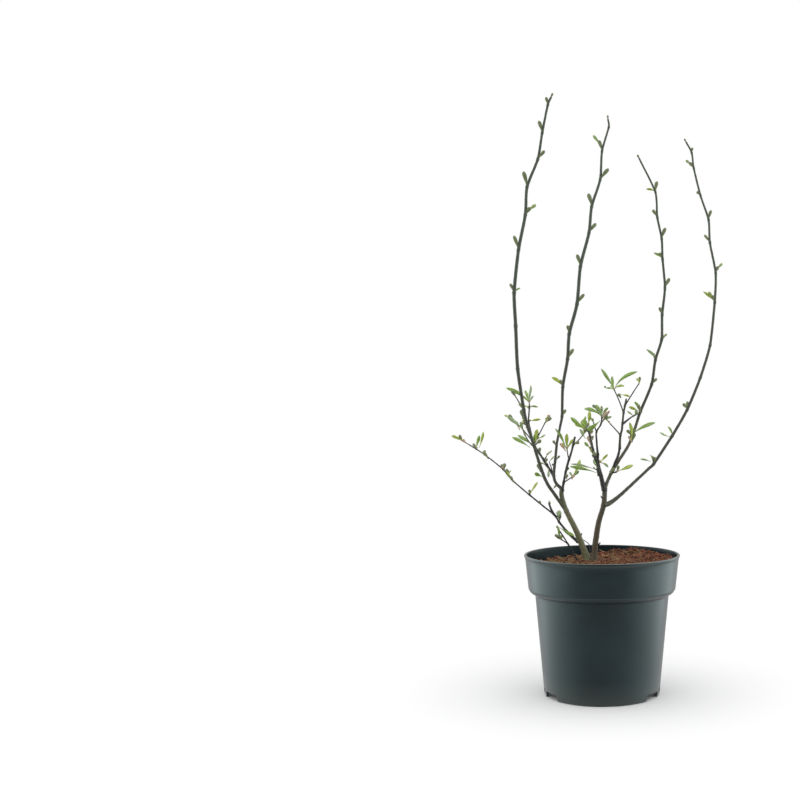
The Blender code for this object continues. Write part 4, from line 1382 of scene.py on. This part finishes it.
def box_cutter(size, height, turn_deg, widening=1.0):
    """A block at the base's edge, turned about the pot's axis, its foot widened."""
    fresh_start()
    bpy.ops.mesh.primitive_cube_add(size=1.0, location=(BASE_RADIUS, 0, height))
    bpy.context.object.scale = size
    cutter = settled()
    for vertex in cutter.data.vertices:
        if vertex.co.z < height:
            vertex.co.y *= widening
    cutter.data.transform(Matrix.Rotation(math.radians(turn_deg), 4, "Z"))
    return cutter


def drain_cutter(turn_deg):
    """A round bar through the raised ring of the base, turned about the pot's axis."""
    fresh_start()
    bpy.ops.mesh.primitive_cylinder_add(
        vertices=DRAIN_SIDES, radius=DRAIN_RADIUS, depth=DRAIN_DEPTH,
        location=((CHANNEL_INNER_RADIUS + BASE_RADIUS) / 2, 0, CHANNEL_HEIGHT),
    )
    cutter = settled()
    cutter.data.transform(Matrix.Rotation(math.radians(turn_deg), 4, "Z"))
    return cutter


def cut_away(piece, cutters):
    """Takes the cutters out of the piece, one Boolean at a time, and removes them."""
    for cutter in cutters:
        modifier = piece.modifiers.new("cut", "BOOLEAN")
        modifier.operation = "DIFFERENCE"
        modifier.object = cutter
        bpy.context.view_layer.objects.active = piece
        bpy.ops.object.modifier_apply(modifier=modifier.name)
        bpy.data.objects.remove(cutter, do_unlink=True)


class SHRUB_OT_pot(bpy.types.Operator):
    """Turn the moulded pot, and cut the gaps between its feet and its drain holes"""

    bl_idname = "shrub.pot"
    bl_label = "Moulded pot"

    def execute(self, context):
        settings = context.scene.shrub_pot
        pot = turned("moulded_pot", rounded(pot_corners(settings.wall)), settings.sides)
        gap_width = 2 * BASE_RADIUS * math.sin(math.radians(FOOT_GAP_DEG / 2))
        gap = (FOOT_GAP_DEPTH, gap_width * FOOT_GAP_SHARE, 2 * FOOT_GAP_TOP)
        cutters = []
        for foot in range(FEET):
            turn = -90.0 + (foot + 0.5) * 360.0 / FEET
            cutters.append(box_cutter(gap, 0, turn, FOOT_GAP_WIDENING))
            for side in SLOT_SIDES[foot]:
                cutters.append(box_cutter(SLOT_SIZE, SLOT_HEIGHT, turn + side * SLOT_TURN_DEG))
            cutters.append(drain_cutter(turn))
        cut_away(pot, cutters)
        fresh_start()
        pot.select_set(True)
        bpy.context.view_layer.objects.active = pot
        bpy.ops.object.shade_smooth_by_angle(angle=math.radians(SHARPEST_SMOOTH_DEG))
        hand_over(pot, moulded_polypropylene(settings), "pot_plastic", "pot")
        return {"FINISHED"}


def compost_height(x, y):
    """The compost's level: lower at the left, level round the stems, with low bumps."""
    slope = COMPOST_HIGH_RIGHT if x > 0 else COMPOST_LOW_LEFT
    bump = math.sin(x / (9 * MM) + 1.3) * math.cos(y / (11 * MM) - 0.6)
    bump += 0.6 * math.sin((x + y) / (5 * MM))
    away = math.hypot(x + STEMS_LEFT_BY, y)
    settle = min(1.0, max(0.0, (away - LEVEL_RADIUS) / LEVEL_FADE))
    return GROUND - CLEAR + settle * (slope * x / RIM_RADIUS + COMPOST_BUMP * bump)


def compost_relief(x, y):
    """Heaps, hollows and finer clods on the level, up to a few millimetres high."""
    spot = Vector((x, y, 0))
    lift = -CLODS_SUNK
    for height, width in CLODS:
        lift += height * MM * noise.noise(spot / (width * MM))
    for across, back, height, spread in COMPOST_HEAPS:
        away = math.hypot(x - across * MM, y - back * MM) / (spread * MM)
        lift += height * MM * math.exp(-away * away)
    return lift


def add_crumb(heap, centre, size, chance):
    """An irregular clod with eight faces, no two alike."""
    turn = chance.uniform(0, 6.28)
    turn = Matrix.Rotation(turn, 3, (stray(chance, -1) + Vector((0, 0, 0.01))).normalized())
    corners = []
    for corner in ((1, 0, 0), (0, 1, 0), (-1, 0, 0), (0, -1, 0), (0, 0, 1), (0, 0, -1)):
        corners.append(centre + turn @ (Vector(corner) * chance.uniform(0.55, 1.3) * size))
    faces = []
    for side in range(4):
        after = (side + 1) % 4
        faces += [side, after, 4], [after, side, 5]
    heap.add(corners, faces)


def add_fibre(heap, centre, length, thick, chance):
    """A thin curled fibre lying on the compost, one end now and then lifted."""
    turn = chance.uniform(0, 2 * math.pi)
    half = Vector((math.cos(turn), math.sin(turn), chance.uniform(-0.15, 0.35))) * length / 2
    bend = Vector((-math.sin(turn), math.cos(turn), chance.uniform(-0.2, 0.6)))
    middle = centre + bend * chance.uniform(-0.5, 0.5) * length
    points = [bowed(centre - half, middle, centre + half, i / 4) for i in range(5)]
    radii = [thick * share for share in (1, 1.2, 1, 0.8, 0.3)]
    heap.add_rings(round_rings(points, radii, 3))


def compost_spot(chance, edge):
    """A seeded place on the compost inside the wall."""
    reach = edge * math.sqrt(chance.random())
    turn = chance.uniform(0, 2 * math.pi)
    x, y = reach * math.cos(turn), reach * math.sin(turn)
    return Vector((x, y, compost_height(x, y) + compost_relief(x, y)))


def compost_profile(wall, edge):
    """From the floor's middle up the wall, and over the level back to the middle."""
    foot, lowest = CHANNEL_HEIGHT + wall, BASE_RADIUS - wall
    profile = [
        (MIDDLE_RADIUS, foot + 1 * MM),
        (lowest - 7 * MM, foot + 1 * MM),
        (lowest - 4 * MM, foot + 9 * MM),
        (BODY_TOP_RADIUS - wall, BODY_TOP_HEIGHT),
        (COLLAR_FOOT_RADIUS - wall - 3 * MM, COLLAR_FOOT_HEIGHT),
        (edge - 1.2 * MM, GROUND - 12 * MM),
    ]
    for i in range(BED_RINGS):
        share = i / BED_RINGS
        profile.append(((edge - 0.6 * MM) * (1 - share) + 0.4 * MM * share, GROUND))
    return profile


class SHRUB_OT_compost(bpy.types.Operator):
    """Fill the pot with compost, and strew crumbs and fibres over its top"""

    bl_idname = "shrub.compost"
    bl_label = "Compost"

    def execute(self, context):
        settings, pot = context.scene.shrub_compost, context.scene.shrub_pot
        wall = pot.wall + COMPOST_GAP
        edge = COLLAR_TOP_RADIUS - wall - COMPOST_GAP
        bed = turned("compost_bed", compost_profile(wall, edge), pot.sides)
        for vertex in bed.data.vertices:
            x, y, z = vertex.co
            if z > GROUND - 3 * MM:
                vertex.co.z = compost_height(x, y) + compost_relief(x, y)
        bed.data.shade_smooth()
        # The bed runs from peat, darkened further as painted shade in its hollows, to red coir on its
        # tops
        mixed = coir("peat_and_coir", shade(settings.dark, 0.6), settings.red, 3.0)
        hand_over(bed, mixed, "compost", "compost")
        chance = random.Random(COMPOST_SEED)
        heaps = {name: Heap() for name in LITTER}
        for _ in range(settings.crumbs):
            size = chance.uniform(0.6, 1.0) ** 3 * chance.uniform(*CRUMB_SIZES)
            spot = compost_spot(chance, edge - 3 * MM)
            redness = 0.5 + 0.5 * noise.noise(spot / RED_PATCH) + spot.x / (4 * RIM_RADIUS)
            weights = (REDDEST * redness, 1.0, PALEST - redness)
            kind = chance.choices(("coir_crumbs", "peat_crumbs", "bark_crumbs"), weights)[0]
            add_crumb(heaps[kind], spot + Vector((0, 0, size * 0.2)), size, chance)
        for _ in range(settings.fibres):
            length = chance.uniform(*FIBRE_LENGTHS)
            spot = compost_spot(chance, edge - length / 2 - 1 * MM) + Vector((0, 0, 1 * MM))
            straw = STRAW_SHARE - spot.x / (3 * RIM_RADIUS)
            kind = "straw_fibres" if chance.random() < straw else "coir_fibres"
            add_fibre(heaps[kind], spot, length, chance.uniform(*FIBRE_RADII), chance)
        for name, heap in heaps.items():
            skin, colour, painted_shade_in_hollows, painted_light_on_tops, grain = LITTER[name]
            colour = getattr(settings, colour)
            skin = coir(skin, shade(colour, painted_shade_in_hollows), shade(colour, painted_light_on_tops), grain)
            hand_over(heap.piece(name), skin, "compost")
        return {"FINISHED"}


def display_line(points, radii, step):
    """A line with even steps, and its radii carried over by the share of its length."""
    line = even_steps(points, step)
    last = len(radii) - 1
    sizes = []
    for i in range(len(line)):
        share = i / (len(line) - 1) * last
        low = min(int(share), last - 1)
        sizes.append(radii[low] + (radii[low + 1] - radii[low]) * (share - low))
    return line, sizes


def swollen(name, sizes, usual, fullness=1.0):
    """The sizes along a limb, made fuller at its foot by its own swell or the usual one."""
    swell, reach = FOOT_SWELL.get(name, usual)
    return [
        size * (fullness + swell * math.exp(-i * BAR_STEP_MM / reach)) for i, size in enumerate(sizes)
    ]


def build_limb(name, settings):
    """One limb as a tapering bar with bark relief, its foot sunk into what it leaves."""
    limb = LIMBS[name]
    points = smooth(line_points(EASED_LINES.get(name, limb.line), limb.depth), CURVE_PARTS)
    radii = radii_along(points, limb.thick)
    is_stem = name in STEM_FULLNESS
    if is_stem:
        points[0].z = GROUND - SUNK
    line, sizes = display_line(points, radii, BAR_STEP_MM * MM)
    if is_stem:
        sizes = [size * STEM_FULLNESS[name] for size in flared(line, sizes)]
    else:
        sizes = swollen(name, sizes, BOUGH_SWELL)
    return bar_of_wood(name + "_bark", line, sizes, "limb", settings, branch_feet())


def branch_feet():
    """Where limbs and masses leave the limbs below them."""
    feet = [line_points(limb.line, limb.depth)[0] for limb in LIMBS.values()]
    feet += [line_points(mass.spine, mass.depth)[0] for mass in MASSES.values() if mass.parents]
    return feet


class SHRUB_OT_stems(bpy.types.Operator):
    """Grow the two stems from the compost to their forks"""

    bl_idname = "shrub.stems"
    bl_label = "Stems"

    def execute(self, context):
        settings = context.scene.shrub_wood
        olive, brown = (young_bark(kind + "_magnolia_bark", settings) for kind in ("olive", "brown"))
        hand_over(build_limb("stem_left", settings), olive, "stem_bark", "stem_left")
        hand_over(build_limb("stem_right", settings), brown, "stem_bark", "stem_right")
        return {"FINISHED"}


class SHRUB_OT_boughs(bpy.types.Operator):
    """Grow the four boughs and the short pruned branches between them"""

    bl_idname = "shrub.boughs"
    bl_label = "Boughs and branches"

    def execute(self, context):
        settings = context.scene.shrub_wood
        kinds = ("bough_bark", "grey_bough_bark", "pruned_branch_bark")
        bough, grey, pruned = (young_bark(kind, settings) for kind in kinds)
        for name in LIMBS:
            if name in STEM_FULLNESS:
                continue
            bark = bough if name.startswith("bough") else pruned
            if name == "bough_3_inner_right":
                bark = grey
            hand_over(build_limb(name, settings), bark, "bough_bark", name)
        return {"FINISHED"}


def rounded_whip(whip):
    """A whip's line from its sunk foot to its tip, its corners at the nodes rounded off."""
    bough = LIMBS[whip.bough]
    corners = whip_line(whip)
    foot = line_points(bough.line, bough.depth)[-2]
    corners[0] = corners[0] + (foot - corners[0]).normalized() * SUNK
    straight = []
    for a, b in zip(corners, corners[1:]):
        straight.extend(a.lerp(b, i / CURVE_PARTS) for i in range(CURVE_PARTS))
    straight.append(corners[-1])
    return [a.lerp(b, WHIP_ROUNDING) for a, b in zip(straight, smooth(corners, CURVE_PARTS))]


class SHRUB_OT_whips(bpy.types.Operator):
    """Grow the four tall whips, each a chain of nodes from its bough's tip"""

    bl_idname = "shrub.whips"
    bl_label = "Whips"

    def execute(self, context):
        settings = context.scene.shrub_wood
        bark = young_bark("whip_bark", settings)
        foot, tip = WHIP_FULLNESS
        for name, whip in WHIPS.items():
            points = rounded_whip(whip)
            line, sizes = display_line(points, radii_along(points, whip.thick), WHIP_STEP_MM * MM)
            middle = WHIP_MIDDLE.get(name, 0.0)
            for i, size in enumerate(sizes):
                share = i / len(sizes)
                sizes[i] = size * (foot + tip * share + middle * math.sin(math.pi * share))
            nodes = growth_plan().nodes[name]
            piece = bar_of_wood(name + "_wood", line, sizes, "whip", settings, nodes)
            hand_over(piece, bark, "whip_wood", name)
        return {"FINISHED"}


class SHRUB_OT_twigs(bpy.types.Operator):
    """Grow the thin branches of each leafy mass, and the twigs that leave them"""

    bl_idname = "shrub.twigs"
    bl_label = "Leafy twigs"

    def execute(self, context):
        settings = context.scene.shrub_wood
        growth = growth_plan()
        bark = young_bark("twig_bark", settings)
        leafy = [name for name in MASSES if name != "dry_stick"]
        for name, mass in MASSES.items():
            points = smooth(line_points(mass.spine, mass.depth), CURVE_PARTS)
            if name not in leafy:
                points[0].z = GROUND - SUNK
            line, sizes = display_line(points, radii_along(points, mass.thick), BAR_STEP_MM * MM)
            sizes = swollen(name, sizes, SPINE_SWELL, SPINE_FULLNESS)
            piece = bar_of_wood(name + "_branch", line, sizes, "spine", settings, growth.nodes[name])
            hand_over(piece, bark, "young_leaves" if name in leafy else "dry_twig", name)
        heap = Heap()
        chance = random.Random(TWIG_SEED)
        foot, tip = TWIG_RADII
        for start, end in growth.twigs:
            bend = stray(chance, -0.4) * (end - start).length * TWIG_BEND
            shares = [i / CURVE_PARTS for i in range(CURVE_PARTS + 1)]
            points = [bowed(start, start.lerp(end, 0.5) + bend, end, share) for share in shares]
            radii = [foot + (tip - foot) * share for share in shares]
            radii[0] *= TWIG_END_FULLNESS[0]
            radii[-1] *= TWIG_END_FULLNESS[1]
            heap.add_rings(round_rings(points, radii, TWIG_SIDES))
        for line, foot, tip, depth in FINE_TWIGS:
            points = smooth([sighted(across, depth, high) for across, high in line], FINE_TWIG_PARTS)
            heap.add_rings(round_rings(points, radii_along(points, (foot, tip)), TWIG_SIDES))
        hand_over(heap.piece("twigs"), bark, "young_leaves", *leafy)
        return {"FINISHED"}


def grown_bud(bud, heaps, chance):
    """A bud of the plan, now and then with a leaf tip that breaks out or a scale at its side."""
    downy, bursting, scales = heaps
    reach = bud.tip - bud.root
    width = bud.width * BUD_FULLNESS
    if not (bud.on_whip and bud.along.angle(reach) < math.radians(RUNS_ON_DEG)):
        width = max(width, min(BUD_SLIMMEST, reach.length * BUD_ROUNDEST))
    width = min(width, BUD_BROADEST) * chance.uniform(0.86, 1.12)
    if bud.on_whip and chance.random() < BURST_CHANCE:
        outward = (reach.normalized() - bud.along.normalized()).normalized()
        long, wide = BURST_TIP
        lean = reach * long + outward * reach.length * chance.uniform(0.05, 0.24)
        if reach.length > BURSTING_BUD:
            burst = bud.root + reach * BURST_START
            add_bud(bursting, burst, burst + lean, width * wide, reach)
            long, wide = BURST_BUD
            add_bud(downy, bud.root, bud.root + reach * long, width * wide, bud.along)
            return
    add_bud(downy, bud.root, bud.tip, width, bud.along)
    if not bud.on_whip and chance.random() < SCALE_CHANCE:
        tip = bud.root + reach * SCALE_SHARE + stray(chance, -0.5) * 0.3 * reach.length
        add_bud(scales, bud.root, tip, SCALE_WIDTH, bud.along, SCALE_SIDES)


class SHRUB_OT_buds(bpy.types.Operator):
    """Set the downy buds on the whips and twigs, some bursting, with papery scales at their feet"""

    bl_idname = "shrub.buds"
    bl_label = "Buds and scales"

    def execute(self, context):
        settings = context.scene.shrub_leaves
        chance = random.Random(BUD_SEED)
        downy, bursting, scales = heaps = Heap(), Heap(), Heap()
        for bud in growth_plan().buds:
            grown_bud(bud, heaps, chance)
        for heap, table in ((downy, FINE_BUDS), (scales, FINE_SCALES)):
            for across, low, across_tip, high, width, depth in table:
                root = sighted(across, depth, low)
                depth += chance.uniform(-FINE_BUD_DEPTH, FINE_BUD_DEPTH)
                add_bud(heap, root, sighted(across_tip, depth, high), width * MM, Vector((0, 0, 1)))
        for end, toward in growth_plan().sprig_ends:
            for _ in range(SMALL_SCALES):
                direction = (toward.normalized() + stray(chance, -0.3) * 0.7).normalized()
                root, tip = end - direction * 0.5 * MM, end + direction * chance.uniform(2.5, 4.5) * MM
                add_bud(scales, root, tip, SMALL_SCALE_WIDTH, toward, SCALE_SIDES)
        for heap, name, skin in (
            (downy, "leaf_buds", leaf_skin("downy_bud", settings.bud, 0.7, 0.25)),
            (bursting, "bursting_tips", leaf_skin("bursting_leaf_tip", settings.bursting, 0.55, 0.1)),
            (scales, "bud_scales", leaf_skin("papery_scale", settings.scale, 0.75)),
        ):
            hand_over(heap.piece(name), skin, "young_leaves")
        return {"FINISHED"}


class SHRUB_OT_leaves(bpy.types.Operator):
    """Set every young leaf on its stalk, in three greens dealt out at random or as listed"""

    bl_idname = "shrub.leaves"
    bl_label = "Young leaves"

    def execute(self, context):
        settings = context.scene.shrub_leaves
        chance = random.Random(LEAF_SEED)
        heaps = {kind: Heap() for kind in LEAF_KINDS}
        for leaf in growth_plan().leaves:
            kind = chance.choices(tuple(LEAF_KINDS), tuple(LEAF_KINDS.values()))[0]
            slim = leaf._replace(width=min(leaf.width, LEAF_BROADEST))
            add_leaf(heaps[kind], slim, settings, chance)
        for kind, across, low, across_tip, high, width, bow, depth in FINE_LEAVES:
            root = sighted(across, depth, low)
            depth += chance.uniform(-FINE_LEAF_DEPTH, FINE_LEAF_DEPTH)
            tip = sighted(across_tip, depth, high)
            toward = Matrix.Rotation(math.radians(-bow), 3, "Y") @ (tip - root).normalized()
            flat = Vector((0, 1, 0)).cross(tip - root).normalized()
            flat += Vector((0, chance.uniform(-0.7, 0.7), 0))
            add_leaf(heaps[kind], Leaf(root, tip, width * MM, flat, toward), settings, chance)
        for kind, heap in heaps.items():
            skin = leaf_skin(kind + "_leaf_skin", getattr(settings, kind))
            hand_over(heap.piece(kind + "_leaves"), skin, "young_leaves")
        return {"FINISHED"}


class SHRUB_OT_stage(bpy.types.Operator):
    """Lay the pale floor, hang the soft lights and set up the camera"""

    bl_idname = "shrub.stage"
    bl_label = "Floor, light and camera"

    def execute(self, context):
        settings = context.scene.shrub_stage
        fresh_start()
        bpy.ops.mesh.primitive_circle_add(
            vertices=FLOOR_SIDES, radius=FLOOR_RADIUS, fill_type="NGON", location=(0, 0, -FLOOR_DROP),
        )
        floor = settled()
        floor.name = "studio_floor"
        floor.data.materials.append(matt_paint("matt_studio_paint", settings.floor))
        floor.visible_glossy = False
        self.white_surround(context.scene, settings)
        self.hang_lights(settings)
        bpy.ops.object.camera_add(
            location=(0, -EYE_DISTANCE, EYE_HEIGHT), rotation=(math.radians(90), 0, 0),
        )
        context.scene.camera = bpy.context.object
        camera = bpy.context.object.data
        camera.lens = settings.lens
        camera.sensor_width = 36.0
        camera.shift_x = settings.shift
        camera.clip_start = 0.05
        return {"FINISHED"}

    def white_surround(self, scene, settings):
        """White to the eye. Its light is dim on the viewer's side, strong from the back and below."""
        world = bpy.data.worlds.new("white_studio")
        world.use_nodes = True
        scene.world = world
        scene.view_settings.view_transform = "Standard"
        tree = world.node_tree
        way = add_node(tree, "ShaderNodeTexCoord").outputs["Generated"]
        sideways, back, rise = add_node(tree, "ShaderNodeSeparateXYZ", links={"Vector": way}).outputs
        around = add_node(
            tree, "ShaderNodeMapRange",
            {
                "interpolation_type": "SMOOTHSTEP", "From Min": -1.0, "From Max": 0.9,
                "To Min": settings.sky * settings.front, "To Max": settings.sky,
            },
            {"Value": back},
        )
        depth = add_node(
            tree, "ShaderNodeMapRange", {"From Min": -1.0, "From Max": 0.0}, {"Value": rise},
        )
        stops = [(position, (strength,) * 3) for position, strength in BELOW_STOPS]
        ground = add_node(tree, "ShaderNodeValToRGB", {"stops": stops}, {"Fac": depth})
        below = add_node(
            tree, "ShaderNodeMath", {"operation": "MULTIPLY", 1: settings.below}, {0: ground},
        )
        lit = add_node(tree, "ShaderNodeMath", {"operation": "MAXIMUM"}, {0: around, 1: below})
        rays = add_node(tree, "ShaderNodeLightPath").outputs
        aside = add_node(tree, "ShaderNodeMath", {"operation": "MULTIPLY"}, {0: sideways, 1: sideways})
        gloss = add_node(
            tree, "ShaderNodeMath", {"operation": "MULTIPLY", 1: settings.aside},
            {0: rays["Is Glossy Ray"]},
        )
        total = add_node(
            tree, "ShaderNodeMath", {"operation": "MULTIPLY_ADD"}, {0: aside, 1: gloss, 2: lit},
        )
        strength = add_node(
            tree, "ShaderNodeMix", {"data_type": "FLOAT", 3: 1.0},
            {0: rays["Is Camera Ray"], 2: total},
        )
        fit(tree.nodes["Background"], {"Color": (1, 1, 1, 1)}, {"Strength": strength})

    def hang_lights(self, settings):
        """A wide soft light overhead, and panels that only gloss shows."""
        tilt = math.radians(SUN_TILT_DEG)
        bpy.ops.object.light_add(type="SUN", location=(0, 0, 3), rotation=(tilt, 0, 0))
        sun = bpy.context.object
        sun.data.energy = settings.key
        sun.data.angle = math.radians(SUN_ANGLE_DEG)
        sun.visible_glossy = False
        for place, turns, share in PANELS:
            turns = [math.radians(turn) for turn in turns]
            bpy.ops.object.light_add(type="AREA", location=place, rotation=turns)
            panel = bpy.context.object
            panel.visible_camera = False
            panel.visible_diffuse = False
            panel.data.shape = "RECTANGLE"
            panel.data.size, panel.data.size_y = PANEL_SIZE
            panel.data.energy = settings.panel * share
            panel.data.color = PANEL_TINT


class SHRUB_PT_panel(bpy.types.Panel):
    """Lists the pieces in the order they are made"""

    bl_idname = "SHRUB_PT_panel"
    bl_label = "Potted magnolia"
    bl_space_type = "VIEW_3D"
    bl_region_type = "UI"
    bl_category = "Shrub"

    def draw(self, context):
        for operator in OPERATORS:
            self.layout.operator(operator.bl_idname)
        for name in SETTINGS:
            box = self.layout.box()
            group = getattr(context.scene, name)
            for prop in group.__annotations__:
                box.prop(group, prop)


OPERATORS = (
    SHRUB_OT_stage, SHRUB_OT_pot, SHRUB_OT_compost, SHRUB_OT_stems, SHRUB_OT_boughs,
    SHRUB_OT_whips, SHRUB_OT_twigs, SHRUB_OT_buds, SHRUB_OT_leaves,
)
SETTINGS = {
    "shrub_pot": ShrubPotSettings,
    "shrub_compost": ShrubCompostSettings,
    "shrub_wood": ShrubWoodSettings,
    "shrub_leaves": ShrubLeafSettings,
    "shrub_stage": ShrubStageSettings,
}


def register():
    for group in (*SETTINGS.values(), *OPERATORS, SHRUB_PT_panel):
        bpy.utils.register_class(group)
    for name, group in SETTINGS.items():
        setattr(bpy.types.Scene, name, bpy.props.PointerProperty(type=group))


def unregister():
    for name in SETTINGS:
        delattr(bpy.types.Scene, name)
    for group in (SHRUB_PT_panel, *reversed(OPERATORS), *SETTINGS.values()):
        bpy.utils.unregister_class(group)


def main():
    register()
    bpy.ops.shrub.stage()
    bpy.ops.shrub.pot()
    bpy.ops.shrub.compost()
    bpy.ops.shrub.stems()
    bpy.ops.shrub.boughs()
    bpy.ops.shrub.whips()
    bpy.ops.shrub.twigs()
    bpy.ops.shrub.buds()
    bpy.ops.shrub.leaves()


if __name__ == "__main__":
    main()
